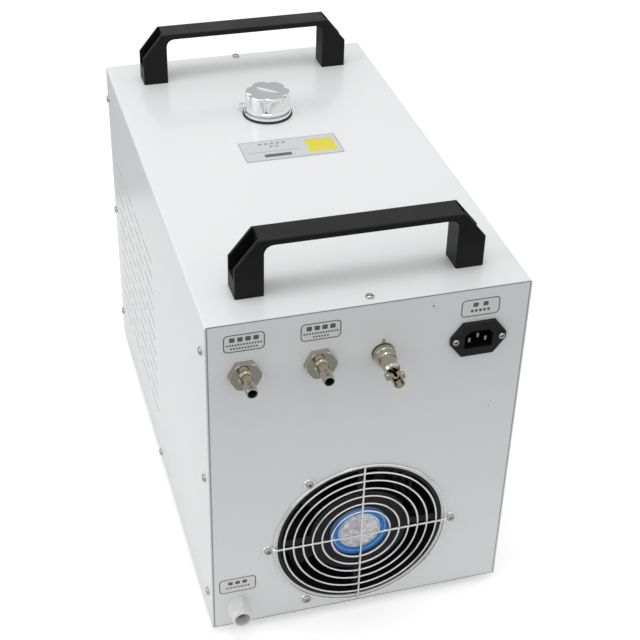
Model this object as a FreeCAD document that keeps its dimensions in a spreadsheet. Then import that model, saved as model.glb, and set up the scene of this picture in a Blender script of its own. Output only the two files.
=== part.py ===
import FreeCAD, Part
import math
import os
import re
import Sketcher

# Bench-top water chiller: a white sheet-steel case that holds a water tank, a pump and a fan-cooled radiator.
# Millimetres. X runs across the case, +Y points out of the rear wall that carries the hose and power ports,
# and +Z is up. The origin lies on the ground below the middle of the whole outline.

SIZES = [
    # case and its sheet metal
    ("case_width", 270.0),
    ("case_length", 471.0),
    ("case_height", 330.7),
    ("case_middle_y", -18.446),
    ("sheet_thickness", 1.2),
    ("fold_radius", 2.4),
    ("cover_gap", 0.3),
    ("flange_depth", 22.0),
    # rubber feet
    ("foot_height", 8.0),
    ("foot_top_radius", 11.0),
    ("foot_bottom_radius", 9.5),
    ("foot_recess_radius", 4.6),
    ("foot_recess_depth", 4.0),
    ("foot_inset_x", 28.0),
    ("foot_inset_y", 36.0),
    # pan-head screws of the case
    ("screw_radius", 2.0),
    ("screw_head_radius", 3.7),
    ("screw_head_height", 2.3),
    ("screw_length", 8.0),
    ("screw_hole_gap", 0.15),
    ("side_screw_low", 32.0),
    ("side_screw_middle", 166.0),
    ("side_screw_high", 298.0),
    ("side_screw_rear_inset", 15.5),
    ("side_screw_front_inset", 6.5),
    ("base_screw_y", -5.0),
    ("base_screw_height", 7.0),
    ("top_screw_rear_inset", 9.5),
    ("top_screw_front_inset", 4.5),
    # air slots in both side walls
    ("slot_length", 42.0),
    ("slot_height", 3.0),
    ("slot_pitch_y", 52.0),
    ("slot_pitch_z", 18.0),
    ("slot_front_y", -204.0),
    ("slot_bottom_z", 56.0),
    # bridge handles
    ("handle_span", 208.0),
    ("handle_foot_length", 24.0),
    ("handle_width", 24.0),
    ("handle_height", 51.0),
    ("handle_bar", 5.5),
    ("handle_slope_run", 19.0),
    ("handle_slope_drop", 23.5),
    ("handle_inner_radius", 7.5),
    ("handle_edge_radius", 1.2),
    ("handle_wall", 3.6),
    ("handle_pocket_floor", 16.0),
    ("handle_rear_inset", 42.5),
    ("handle_front_inset", 38.5),
    ("handle_bolt_radius", 3.0),
    ("handle_bolt_head_radius", 5.0),
    ("handle_bolt_head_height", 6.0),
    ("handle_nut_flats", 10.0),
    ("handle_nut_height", 5.0),
    # filler neck and cap
    ("filler_y", -98.0),
    ("gasket_radius", 24.0),
    ("gasket_height", 2.0),
    ("neck_flange_radius", 23.0),
    ("neck_flange_height", 2.5),
    ("neck_radius", 17.5),
    ("neck_bore_radius", 14.0),
    ("neck_rise", 18.0),
    ("neck_drop", 30.0),
    ("neck_hole_gap", 0.5),
    ("neck_nut_height", 6.0),
    ("neck_nut_flats", 44.0),
    ("strap_thickness", 1.2),
    ("strap_width", 3.0),
    ("strap_loop_radius", 3.6),
    ("strap_loop_reach", 24.0),
    ("cap_radius", 21.5),
    ("cap_height", 23.9),
    ("cap_gap", 0.4),
    ("cap_roof", 3.2),
    ("cap_top_radius", 20.3),
    ("cap_lip_height", 2.6),
    ("cap_lobe_count", 6),
    ("cap_flute_radius", 10.0),
    ("cap_flute_depth", 2.6),
    ("cap_flute_length", 15.0),
    ("cap_flute_taper", 8.0),
    ("cap_ridge_length", 26.0),
    ("cap_ridge_width", 6.0),
    ("cap_ridge_height", 0.7),
    ("seal_height", 2.1),
    # stickers
    ("label_width", 33.5),
    ("label_height", 17.0),
    ("label_corner", 4.0),
    ("label_thickness", 0.3),
    ("port_label_z", 312.0),
    ("drain_label_x", 111.8),
    ("drain_label_z", 49.3),
    ("power_label_x", -91.6),
    ("top_label_width", 93.0),
    ("top_label_height", 37.0),
    ("top_label_x", -3.8),
    ("top_label_y", -24.5),
    ("top_label_thickness", 0.5),
    # hose fittings
    ("return_x", 104.0),
    ("outlet_x", 42.2),
    ("port_z", 281.6),
    ("hex_flats", 24.2),
    ("hex_thickness", 6.0),
    ("hose_thread_radius", 6.5),
    ("hose_thread_length", 12.0),
    ("hose_bore_radius", 3.75),
    ("barb_root_radius", 4.4),
    ("barb_crest_radius", 5.0),
    ("barb_count", 3),
    ("barb_pitch", 6.5),
    ("barb_ramp", 4.0),
    ("barb_land", 0.8),
    ("spout_reach", 27.0),
    ("spigot_radius", 5.3),
    ("spigot_length", 14.0),
    ("port_nut_flats", 19.0),
    ("port_nut_height", 5.0),
    ("thread_gap", 0.1),
    # alarm connector
    ("alarm_x", -10.5),
    ("alarm_z", 281.0),
    ("alarm_barrel_radius", 6.9),
    ("alarm_barrel_reach", 10.0),
    ("alarm_barrel_depth", 12.0),
    ("alarm_cavity_radius", 5.6),
    ("alarm_washer_radius", 9.8),
    ("alarm_washer_thickness", 0.8),
    ("alarm_tab_reach", 14.0),
    ("alarm_tab_width", 1.8),
    ("alarm_nut_flats", 18.0),
    ("alarm_nut_height", 3.0),
    ("ring_radius", 9.35),
    ("ring_start", 1.2),
    ("ring_end", 12.4),
    ("ring_lip", 1.2),
    ("ring_gap", 0.3),
    ("plug_radius", 6.75),
    ("plug_nose_radius", 5.25),
    ("plug_end", 26.0),
    ("plug_bore_radius", 3.5),
    ("clamp_end", 41.5),
    ("clamp_wall", 1.4),
    ("clamp_ear_start", 27.5),
    ("clamp_ear_length", 6.0),
    ("clamp_ear_reach", 7.8),
    ("clamp_ear_thickness", 2.0),
    ("clamp_bar_thickness", 1.2),
    ("clamp_screw_x", 6.0),
    ("clamp_screw_radius", 0.9),
    ("clamp_screw_head_radius", 1.7),
    # power inlet
    ("inlet_x", -91.8),
    ("inlet_z", 281.9),
    ("inlet_width", 48.5),
    ("inlet_height", 33.0),
    ("inlet_edge_length", 28.0),
    ("inlet_flange", 3.0),
    ("inlet_bevel", 0.8),
    ("inlet_body_width", 29.0),
    ("inlet_body_height", 21.0),
    ("inlet_body_depth", 21.0),
    ("inlet_cavity_width", 24.4),
    ("inlet_cavity_height", 16.6),
    ("inlet_cavity_depth", 17.0),
    ("inlet_cavity_corner", 4.0),
    ("inlet_screw_spacing", 40.0),
    ("inlet_screw_radius", 1.5),
    ("inlet_screw_head_radius", 2.9),
    ("inlet_screw_head_height", 1.8),
    ("pin_width", 2.0),
    ("pin_height", 4.0),
    ("pin_recess", 3.0),
    ("pin_spacing", 7.0),
    ("pin_tab", 7.0),
    # drain
    ("drain_x", 112.0),
    ("drain_z", 25.5),
    ("drain_flats", 18.0),
    ("drain_hex_length", 13.0),
    ("drain_radius", 9.0),
    ("drain_reach", 20.0),
    ("drain_bore_radius", 6.8),
    ("drain_bore_floor", 2.0),
    ("drain_thread_radius", 8.0),
    ("drain_thread_length", 12.0),
    ("drain_nut_flats", 20.0),
    ("drain_nut_height", 5.0),
    ("stopper_gap", 0.3),
    ("stopper_start", 2.5),
    ("stopper_length", 8.0),
    # fan
    ("fan_z", 84.0),
    ("fan_opening_radius", 76.0),
    ("fan_depth", 51.0),
    ("fan_flange_radius", 90.0),
    ("fan_flat_height", 151.0),
    ("fan_flange_thickness", 4.0),
    ("fan_duct_radius", 72.5),
    ("fan_duct_wall", 2.5),
    ("fan_screw_circle", 84.3),
    ("fan_screw_angle", 55.0),
    ("fan_screw_length", 10.0),
    ("fan_seat_radius", 45.0),
    ("fan_seat_thickness", 4.0),
    ("fan_seat_set_back", 3.0),
    ("fan_strut_width", 7.0),
    ("fan_strut_count", 4),
    ("fan_motor_radius", 32.0),
    ("fan_motor_length", 30.0),
    ("fan_shaft_radius", 4.0),
    ("fan_shaft_gap", 0.05),
    ("fan_hub_radius", 45.0),
    ("fan_hub_wall", 3.0),
    ("fan_hub_start", 8.0),
    ("fan_hub_end", 46.0),
    ("fan_blade_radius", 71.2),
    ("fan_blade_count", 5),
    ("fan_blade_thickness", 2.2),
    ("fan_label_radius", 28.0),
    ("fan_label_thickness", 0.6),
    # finger guard
    ("guard_outer_radius", 79.0),
    ("guard_inner_radius", 27.0),
    ("guard_ring_count", 7),
    ("guard_wire_radius", 0.85),
    ("guard_spoke_radius", 1.0),
    ("guard_loop_radius", 4.1),
    ("guard_eye_height", 1.2),
    # front wall
    ("display_z", 250.0),
    ("display_width", 96.0),
    ("display_height", 46.0),
    ("display_border", 8.0),
    ("display_proud", 3.0),
    ("display_depth", 18.0),
    ("display_bevel", 1.0),
    ("window_thickness", 2.0),
    ("window_recess", 1.2),
    ("switch_x", 88.0),
    ("switch_z", 60.0),
    ("switch_width", 31.0),
    ("switch_height", 25.0),
    ("switch_border", 3.5),
    ("switch_proud", 2.0),
    ("switch_depth", 20.0),
    ("rocker_gap", 0.4),
    ("rocker_end_gap", 1.4),
    ("rocker_tilt", 10.0),
    ("rocker_pivot_radius", 1.5),
    ("rocker_pivot_depth", 4.0),
    ("rocker_rise", 3.4),
    ("rocker_dip", 0.7),
    ("pivot_gap", 0.08),
    # tank and shelf
    ("shelf_inset", 18.0),
    ("shelf_height", 172.0),
    ("shelf_thickness", 1.5),
    ("shelf_foot", 16.0),
    ("tank_side_gap", 17.0),
    ("tank_front_gap", 3.9),
    ("tank_rear_gap", 7.5),
    ("tank_top_gap", 11.5),
    ("tank_wall", 3.0),
    ("tank_corner", 12.0),
    ("tank_spout_radius", 5.3),
    ("tank_spout_length", 12.0),
    ("float_x", 60.0),
    ("float_y", -20.0),
    ("float_stem_radius", 4.0),
    ("float_stem_length", 95.0),
    ("float_radius", 13.0),
    ("float_length", 20.0),
    ("float_gap", 0.3),
    ("float_stop_radius", 6.5),
    ("float_stop_height", 3.0),
    # pump
    ("pump_x", 42.2),
    ("pump_y", 91.0),
    ("pump_z", 60.0),
    ("pump_head_radius", 34.0),
    ("pump_head_length", 30.0),
    ("pump_motor_radius", 36.0),
    ("pump_motor_length", 90.0),
    ("pump_foot_width", 60.0),
    ("pump_spout_rise", 46.0),
    ("pump_spout_run", 33.0),
    # radiator
    ("radiator_width", 186.0),
    ("radiator_height", 150.0),
    ("radiator_thickness", 36.0),
    ("radiator_gap", 6.0),
    ("radiator_plate", 2.0),
    ("radiator_plate_depth", 44.0),
    ("radiator_fin_pitch", 8.0),
    ("radiator_fin_gap", 5.0),
    ("radiator_groove", 12.0),
    ("radiator_tube_radius", 4.5),
    ("radiator_bend_radius", 14.0),
    ("radiator_lead", 1.5),
    ("radiator_stub_length", 20.0),
    # inner hoses
    ("hose_radius", 7.5),
    ("hose_wall", 2.15),
    ("hose_bend", 20.0),
    ("hose_end_gap", 2.0),
    ("drain_hose_y", 108.0),
    # controller
    ("board_width", 110.0),
    ("board_height", 60.0),
    ("board_thickness", 1.6),
    ("board_part_height", 22.0),
]

# Sizes that follow from others, so that a changed piece keeps its clearance to its neighbours.
FORMULAS = {
    "tank_width": "(case_width - 2 * tank_side_gap)",
    "tank_front": "(-case_length / 2 + display_depth + board_thickness + board_part_height + tank_front_gap)",
    "tank_rear": "(pump_y - pump_head_length / 2 - hose_radius - tank_rear_gap)",
    "tank_top": "(case_height - sheet_thickness - neck_nut_height - tank_top_gap)",
    "tank_length": "(tank_rear - tank_front)",
    "tank_middle_y": "((tank_rear + tank_front) / 2)",
    "tank_height": "(tank_top - shelf_height)",
    "shelf_width": "(tank_width - 2 * shelf_inset)",
}

document = FreeCAD.newDocument("water_chiller")
sheet = document.addObject("Spreadsheet::Sheet", "Sizes")
for row, (alias, number) in enumerate(SIZES, start=1):
    sheet.set(f"A{row}", alias)
    sheet.set(f"B{row}", str(number))
    sheet.setAlias(f"B{row}", alias)
document.recompute()

ALIASES = re.compile(r"\b(" + "|".join(alias for alias, number in SIZES) + r")\b")
DERIVED = re.compile(r"\b(" + "|".join(FORMULAS) + r")\b")
NODES = []

# Planes and levels that many pieces share. Local coordinates start at the middle of the case's underside.
SIDE = "case_width / 2"
REAR = "case_length / 2"
INNER_REAR = "(case_length / 2 - sheet_thickness)"
FRAME_SIDE = "(case_width / 2 - sheet_thickness - cover_gap)"
FRAME_TOP = "(case_height - sheet_thickness - cover_gap)"
HOLE = "(screw_radius + screw_hole_gap)"

# How a piece that is modelled about its own Z axis is turned to face one side of the case.
FACING = {
    "up": FreeCAD.Rotation(),
    "down": FreeCAD.Rotation(FreeCAD.Vector(1, 0, 0), 180),
    "rear": FreeCAD.Rotation(FreeCAD.Vector(1, 0, 0), -90),
    "front": FreeCAD.Rotation(FreeCAD.Vector(1, 0, 0), 90),
    "left": FreeCAD.Rotation(FreeCAD.Vector(0, 1, 0), 90),
    "right": FreeCAD.Rotation(FreeCAD.Vector(0, 1, 0), -90),
}


def bound(text):
    """Turn a formula in plain size names into one that reads the sheet."""
    text = str(text)
    while DERIVED.search(text):
        text = DERIVED.sub(lambda found: FORMULAS[found.group(1)], text)
    return ALIASES.sub(r"Sizes.\1", text)


def value(text):
    """The number that such a formula gives now."""
    return float(sheet.evalExpression(bound(text)))


def place(thing, x="0", y="0", z="0", facing="up", turn=0.0):
    """Put an object at a point of the case, turned to face one of its sides."""
    spin = FreeCAD.Rotation(FreeCAD.Vector(0, 0, 1), turn)
    thing.Placement = FreeCAD.Placement(FreeCAD.Vector(), FACING[facing] * spin)
    thing.setExpression("Placement.Base.x", bound(x))
    thing.setExpression("Placement.Base.y", bound(f"case_middle_y + {y}"))
    thing.setExpression("Placement.Base.z", bound(f"foot_height + {z}"))


def keep(thing, label):
    """Name an object as one of the finished pieces."""
    thing.Label = label
    NODES.append(thing)
    return thing


def new_body(name, **where):
    body = document.addObject("PartDesign::Body", name)
    place(body, **where)
    return body


def origin_part(body, role):
    return next(part for part in body.Origin.OriginFeatures if part.Role == role)


def draw(body, plane, offset="0"):
    """A sketch on one of the body's own planes, moved along its normal."""
    sketch = body.newObject("Sketcher::SketchObject", f"{body.Name}_sketch")
    sketch.AttachmentSupport = [(origin_part(body, f"{plane}_Plane"), "")]
    sketch.MapMode = "FlatFace"
    sign = "-" if plane == "XZ" else ""
    sketch.setExpression("AttachmentOffset.Base.z", bound(f"{sign}({offset})"))
    return sketch


def fix(sketch, kind, geometry, point, text):
    """Hold one coordinate of a point at a formula."""
    number = sketch.addConstraint(Sketcher.Constraint(kind, -1, 1, geometry, point, value(text)))
    name = f"c{number}"
    sketch.renameConstraint(number, name)
    sketch.setExpression(f"Constraints.{name}", bound(text))


def outline(sketch, corners):
    """A closed run of straight edges through corners that formulas give."""
    first = sketch.GeometryCount
    points = [FreeCAD.Vector(value(x), value(y), 0) for x, y in corners]
    count = len(points)
    for index in range(count):
        sketch.addGeometry(Part.LineSegment(points[index], points[(index + 1) % count]))
    for index, (x, y) in enumerate(corners):
        following = first + (index + 1) % count
        sketch.addConstraint(Sketcher.Constraint("Coincident", first + index, 2, following, 1))
        fix(sketch, "DistanceX", first + index, 1, x)
        fix(sketch, "DistanceY", first + index, 1, y)


def arc(x, y, radius, start, end, steps=4):
    """Corners along an arc about (x, y), between two angles in degrees."""
    corners = []
    for index in range(steps + 1):
        angle = start + (end - start) * index / steps
        corners.append((f"{x} + ({radius}) * cos({angle} deg)", f"{y} + ({radius}) * sin({angle} deg)"))
    return corners


def block(sketch, x_low, x_high, y_low, y_high):
    outline(sketch, [(x_low, y_low), (x_high, y_low), (x_high, y_high), (x_low, y_high)])


def many_sided(sketch, x, y, radius, sides=8):
    """A small hole with flat sides that clear the radius, for fasteners."""
    corners = []
    for index in range(sides):
        angle = f"({360 * index / sides} deg)"
        reach = f"({radius}) / cos({180 / sides} deg)"
        corners.append((f"{x} + {reach} * cos({angle})", f"{y} + {reach} * sin({angle})"))
    outline(sketch, corners)


def ring(sketch, x, y, radius):
    """A circle whose centre and radius formulas give."""
    centre = FreeCAD.Vector(value(x), value(y), 0)
    number = sketch.addGeometry(Part.Circle(centre, FreeCAD.Vector(0, 0, 1), value(radius)))
    fix(sketch, "DistanceX", number, 3, x)
    fix(sketch, "DistanceY", number, 3, y)
    constraint = sketch.addConstraint(Sketcher.Constraint("Radius", number, value(radius)))
    sketch.renameConstraint(constraint, f"c{constraint}")
    sketch.setExpression(f"Constraints.c{constraint}", bound(radius))


def hexagon(sketch, flats, turned="0"):
    """Six corners about the sketch's origin, from the distance across flats."""
    corners = []
    for index in range(6):
        angle = f"({60 * index} deg + {turned} * 1 deg)"
        corners.append((f"({flats}) / sqrt(3) * cos({angle})", f"({flats}) / sqrt(3) * sin({angle})"))
    outline(sketch, corners)


def add(body, kind, sketch, length=None, symmetric=False, backward=False):
    """Pad a sketch up its axis or pocket it down its axis. With no length a pocket goes through all."""
    feature = body.newObject(f"PartDesign::{kind}", f"{body.Name}_{kind.lower()}")
    feature.Profile = sketch
    downward_normal = sketch.AttachmentSupport[0][0].Role == "XZ_Plane"
    feature.Reversed = backward != downward_normal
    if length is None:
        feature.Type = "ThroughAll"
    else:
        feature.setExpression("Length", bound(length))
    if symmetric:
        feature.SideType = "Symmetric"
    document.recompute()
    return feature


def pad(body, sketch, length, symmetric=False, backward=False):
    return add(body, "Pad", sketch, length, symmetric, backward)


def pocket(body, sketch, length=None, symmetric=False, backward=False):
    """Cut a sketch out of a body, and make sure that it did cut."""
    before = body.Shape.Volume
    feature = add(body, "Pocket", sketch, length, symmetric, backward)
    if body.Shape.Volume > before - 1e-6:
        raise RuntimeError(f"a pocket of {body.Name} cuts nothing")
    return feature


def spin(body, kind, sketch):
    """Turn a sketch about its own vertical axis, to add or to cut."""
    feature = body.newObject(f"PartDesign::{kind}", f"{body.Name}_{kind.lower()}")
    feature.Profile = sketch
    feature.ReferenceAxis = (sketch, ["V_Axis"])
    feature.Angle = 360
    document.recompute()
    return feature


def polar(body, features, count):
    pattern = body.newObject("PartDesign::PolarPattern", f"{body.Name}_polar")
    pattern.Originals = features
    pattern.Axis = (origin_part(body, "Z_Axis"), [""])
    pattern.Angle = 360
    pattern.setExpression("Occurrences", bound(count))
    body.Tip = pattern
    document.recompute()
    return pattern


def mirrored(body, features, plane):
    copy = body.newObject("PartDesign::Mirrored", f"{body.Name}_mirror")
    copy.Originals = features
    copy.MirrorPlane = (origin_part(body, f"{plane}_Plane"), [""])
    body.Tip = copy
    document.recompute()
    return copy


def grid(body, features, steps):
    """Repeat features along axes: each step is an axis, a pitch and a number of copies."""
    holder = body.newObject("PartDesign::MultiTransform", f"{body.Name}_grid")
    rows = []
    for axis, pitch, count in steps:
        row = body.newObject("PartDesign::LinearPattern", f"{body.Name}_row")
        row.Direction = (origin_part(body, f"{axis}_Axis"), [""])
        row.Occurrences = count
        row.setExpression("Length", bound(f"({pitch}) * {count - 1}"))
        rows.append(row)
    holder.Originals = features
    holder.Transformations = rows
    body.Tip = holder
    document.recompute()
    return holder


def soften(body, kind, radius, wanted):
    """Round or bevel the edges that a test picks by their end points."""
    base = body.Tip
    names = []
    for number, edge in enumerate(base.Shape.Edges, start=1):
        ends = [vertex.Point for vertex in edge.Vertexes]
        if len(ends) == 2 and wanted(*ends):
            names.append(f"Edge{number}")
    if not names:
        raise RuntimeError(f"no edge of {body.Name} was picked")
    feature = body.newObject(f"PartDesign::{kind}", f"{body.Name}_{kind.lower()}")
    feature.Base = (base, names)
    feature.setExpression("Radius" if kind == "Fillet" else "Size", bound(radius))
    document.recompute()
    if feature.Shape.isNull():
        raise RuntimeError(f"the {kind.lower()} of {body.Name} failed")
    return feature


def near(number, text, slack=0.02):
    return abs(number - value(text)) < slack


def turned(name, profile, **where):
    """A lathe-turned body: a run of (radius, height) corners about its own Z axis."""
    body = new_body(name, **where)
    sketch = draw(body, "XZ")
    outline(sketch, profile)
    spin(body, "Revolution", sketch)
    return body


def flat_sided(profile, sides, x=0.0, y=0.0):
    """A solid turned from (radius, height) corners about a line at (x, y), with flat sides all round."""
    corners = [(value(radius), value(height)) for radius, height in profile]
    rows = []
    for radius, height in corners:
        row = []
        for index in range(sides):
            angle = 2 * math.pi * (index + 0.5) / sides
            row.append(FreeCAD.Vector(x + radius * math.cos(angle), y + radius * math.sin(angle), height))
        rows.append(row)
    faces = []
    for first in range(len(corners)):
        second = (first + 1) % len(corners)
        if corners[first][0] < 1e-9 and corners[second][0] < 1e-9:
            continue
        if abs(corners[first][1] - corners[second][1]) < 1e-9 and min(corners[first][0], corners[second][0]) < 1e-9:
            wide = rows[first] if corners[first][0] > corners[second][0] else rows[second]
            faces.append(Part.Face(Part.makePolygon(wide + wide[:1])))
            continue
        for index in range(sides):
            after = (index + 1) % sides
            loop = [rows[first][index], rows[first][after], rows[second][after], rows[second][index]]
            kept = [point for number, point in enumerate(loop) if point.distanceToPoint(loop[number - 1]) > 1e-9]
            faces.append(Part.Face(Part.makePolygon(kept + kept[:1])))
    solid = Part.Solid(Part.makeShell(faces))
    if solid.Volume < 0:
        solid.reverse()
    return solid


def fixed_shape(name, shape, **where):
    """A piece whose shape is worked out here, such as a many-sided turned piece or a bent wire."""
    piece = document.addObject("Part::Feature", name)
    piece.Shape = shape
    place(piece, **where)
    return piece


def many_sided_turning(name, profile, sides, **where):
    """A turned fastener or inner piece with flat sides, which needs no true round."""
    return fixed_shape(name, flat_sided(profile, sides), **where)


def prism(name, draw_outline, low, high, plane="XY", **where):
    """A body with one straight section between two levels along the plane's normal."""
    body = new_body(name, **where)
    sketch = draw(body, plane, low)
    draw_outline(sketch)
    pad(body, sketch, f"({high}) - ({low})")
    return body


def group(label, members):
    """Loose pieces of one kind as one node of separate solids."""
    holder = document.addObject("Part::Compound", label)
    holder.Links = members
    return keep(holder, label)


def pan_screw(name, head, head_height, shank, length, **where):
    """A pan-head screw that stands on the face where it is placed, with its shank below."""
    crown = f"{head_height} * 0.45"
    profile = [
        ("0", f"-({length})"),
        (shank, f"-({length})"),
        (shank, "0"),
        (head, "0"),
        (head, crown),
        (f"{head} * 0.72", head_height),
        ("0", head_height),
    ]
    return many_sided_turning(name, profile, 8, **where)


def nut(name, flats, bore, height, **where):
    """A hexagonal nut that stands on the face where it is placed."""
    body = new_body(name, **where)
    sketch = draw(body, "XY")
    hexagon(sketch, flats)
    many_sided(sketch, "0", "0", bore, 16)
    pad(body, sketch, height)
    return body


def bent_path(corners, bend, steps=3):
    """A run of short straight lengths that goes round each corner at a bend radius."""
    points = [corners[0]]
    for before, corner, after in zip(corners, corners[1:], corners[2:]):
        arrive = (corner - before).normalize()
        leave = (after - corner).normalize()
        turn = arrive.getAngle(leave)
        start = corner - arrive * bend * math.tan(turn / 2)
        centre = start + (leave - arrive * arrive.dot(leave)).normalize() * bend
        axis = arrive.cross(leave)
        for index in range(steps + 1):
            spin_by = FreeCAD.Rotation(axis, math.degrees(turn) * index / steps)
            points.append(centre + spin_by.multVec(start - centre))
    points.append(corners[-1])
    return points


def tube(points, radius, bore=0.0, sides=8):
    """A many-sided tube or rod along a run of points, mitred where the run turns."""
    path = Part.makePolygon(points)
    ahead = FreeCAD.Rotation(FreeCAD.Vector(0, 0, 1), points[1] - points[0])
    solids = []
    for size in (radius, bore):
        if size:
            reach = size / math.cos(math.pi / sides)
            corners = []
            for index in range(sides + 1):
                angle = 2 * math.pi * (index + 0.5) / sides
                flat = FreeCAD.Vector(reach * math.cos(angle), reach * math.sin(angle), 0)
                corners.append(points[0] + ahead.multVec(flat))
            solids.append(path.makePipeShell([Part.makePolygon(corners)], True, False, 1))
    return solids[0].cut(solids[1]) if bore else solids[0]


def hose(label, corners):
    """A hollow hose that grips a spout at both ends."""
    points = [FreeCAD.Vector(value(x), value(y), value(z)) for x, y, z in corners]
    run = bent_path(points, value("hose_bend"))
    shape = tube(run, value("hose_radius"), value("hose_radius - hose_wall"))
    return keep(fixed_shape(label, shape), label)


# Folded chassis: floor, front wall and rear wall in one sheet, with flanges that the cover is screwed to.

def side_screw_places():
    """(y, z) of the screws in each side wall."""
    places = []
    for y in ("case_length / 2 - side_screw_rear_inset", "-case_length / 2 + side_screw_front_inset"):
        for z in ("side_screw_low", "side_screw_middle", "side_screw_high"):
            places.append((y, z))
    places.append(("base_screw_y", "base_screw_height"))
    return places


def top_screw_places():
    return ["case_length / 2 - top_screw_rear_inset", "-case_length / 2 + top_screw_front_inset"]


def foot_places():
    return [
        (f"{side} * (case_width / 2 - foot_inset_x)", f"{end} * (case_length / 2 - foot_inset_y)")
        for side in (-1, 1)
        for end in (-1, 1)
    ]


def fan_screw_places():
    """Four of the fan's six lugs are used: both ends of its long axis and the two corners at +X."""
    places = [("fan_screw_circle", "fan_z"), ("-fan_screw_circle", "fan_z")]
    for sign in ("+", "-"):
        places.append(
            (
                "fan_screw_circle * cos(fan_screw_angle * 1 deg)",
                f"fan_z {sign} fan_screw_circle * sin(fan_screw_angle * 1 deg)",
            )
        )
    return places


def make_chassis():
    body = new_body("chassis")
    section = draw(body, "YZ")
    front = f"-{REAR}"
    corners = [
        (front, "0"),
        (REAR, "0"),
        (REAR, FRAME_TOP),
        (f"{REAR} - flange_depth", FRAME_TOP),
        (f"{REAR} - flange_depth", f"{FRAME_TOP} - sheet_thickness"),
        (f"{REAR} - sheet_thickness", f"{FRAME_TOP} - sheet_thickness"),
        (f"{REAR} - sheet_thickness", "sheet_thickness"),
        (f"{front} + sheet_thickness", "sheet_thickness"),
        (f"{front} + sheet_thickness", f"{FRAME_TOP} - sheet_thickness"),
        (f"{front} + flange_depth", f"{FRAME_TOP} - sheet_thickness"),
        (f"{front} + flange_depth", FRAME_TOP),
        (front, FRAME_TOP),
    ]
    outline(section, corners)
    pad(body, section, f"2 * {FRAME_SIDE}", symmetric=True)

    border = draw(body, "YZ", f"{FRAME_SIDE} - sheet_thickness")
    strip = [
        (front, "0"),
        (REAR, "0"),
        (REAR, FRAME_TOP),
        (f"{REAR} - flange_depth", FRAME_TOP),
        (f"{REAR} - flange_depth", "flange_depth"),
        (f"{front} + flange_depth", "flange_depth"),
        (f"{front} + flange_depth", FRAME_TOP),
        (front, FRAME_TOP),
    ]
    outline(border, strip)
    flange = pad(body, border, "sheet_thickness")
    mirrored(body, [flange], "YZ")
    soften(
        body,
        "Fillet",
        "fold_radius",
        lambda a, b: near(abs(a.y), REAR) and near(abs(b.y), REAR) and abs(a.z) + abs(b.z) < 0.01,
    )

    rear = draw(body, "XZ", REAR)
    ring(rear, "0", "fan_z", "fan_opening_radius")
    for x in ("return_x", "outlet_x"):
        ring(rear, x, "port_z", "hose_thread_radius + thread_gap")
    ring(rear, "alarm_x", "alarm_z", "alarm_barrel_radius + thread_gap")
    ring(rear, "drain_x", "drain_z", "drain_thread_radius + thread_gap")
    for x, z in fan_screw_places():
        many_sided(rear, x, z, HOLE)
    block(
        rear,
        "inlet_x - inlet_body_width / 2 - cover_gap",
        "inlet_x + inlet_body_width / 2 + cover_gap",
        "inlet_z - inlet_body_height / 2 - cover_gap",
        "inlet_z + inlet_body_height / 2 + cover_gap",
    )
    for sign in ("-", "+"):
        screw_x = f"inlet_x {sign} inlet_screw_spacing / 2"
        many_sided(rear, screw_x, "inlet_z", "inlet_screw_radius + screw_hole_gap")
    pocket(body, rear, "2 * sheet_thickness")

    face = draw(body, "XZ", f"-{REAR} + 2 * sheet_thickness")
    for x, z, width, height in (
        ("0", "display_z", "display_width - 2 * display_border", "display_height - 2 * display_border"),
        ("switch_x", "switch_z", "switch_width - 2 * switch_border", "switch_height - 2 * switch_border"),
    ):
        half_width = f"(({width}) / 2 + cover_gap + 2)"
        half_height = f"(({height}) / 2 + cover_gap + 2)"
        block(
            face,
            f"{x} - {half_width}",
            f"{x} + {half_width}",
            f"{z} - {half_height}",
            f"{z} + {half_height}",
        )
    pocket(body, face, "3 * sheet_thickness")

    sides = draw(body, "YZ")
    for y, z in side_screw_places():
        many_sided(sides, y, z, HOLE)
    pocket(body, sides, symmetric=True)

    lid = draw(body, "XY", FRAME_TOP)
    for y in top_screw_places():
        many_sided(lid, "0", y, HOLE)
    pocket(body, lid, "2 * sheet_thickness")

    floor = draw(body, "XY", "sheet_thickness")
    for x, y in foot_places():
        many_sided(floor, x, y, HOLE)
    pocket(body, floor, "2 * sheet_thickness")
    keep(body, "chassis")


# Cover: top and both sides in one folded sheet, with fields of air slots in the sides.

def handle_bolt_places():
    reach = "(handle_span - handle_foot_length) / 2"
    rows = ["case_length / 2 - handle_rear_inset", "-(case_length / 2 - handle_front_inset)"]
    return [(f"{side} * {reach}", y) for y in rows for side in (-1, 1)]


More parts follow.
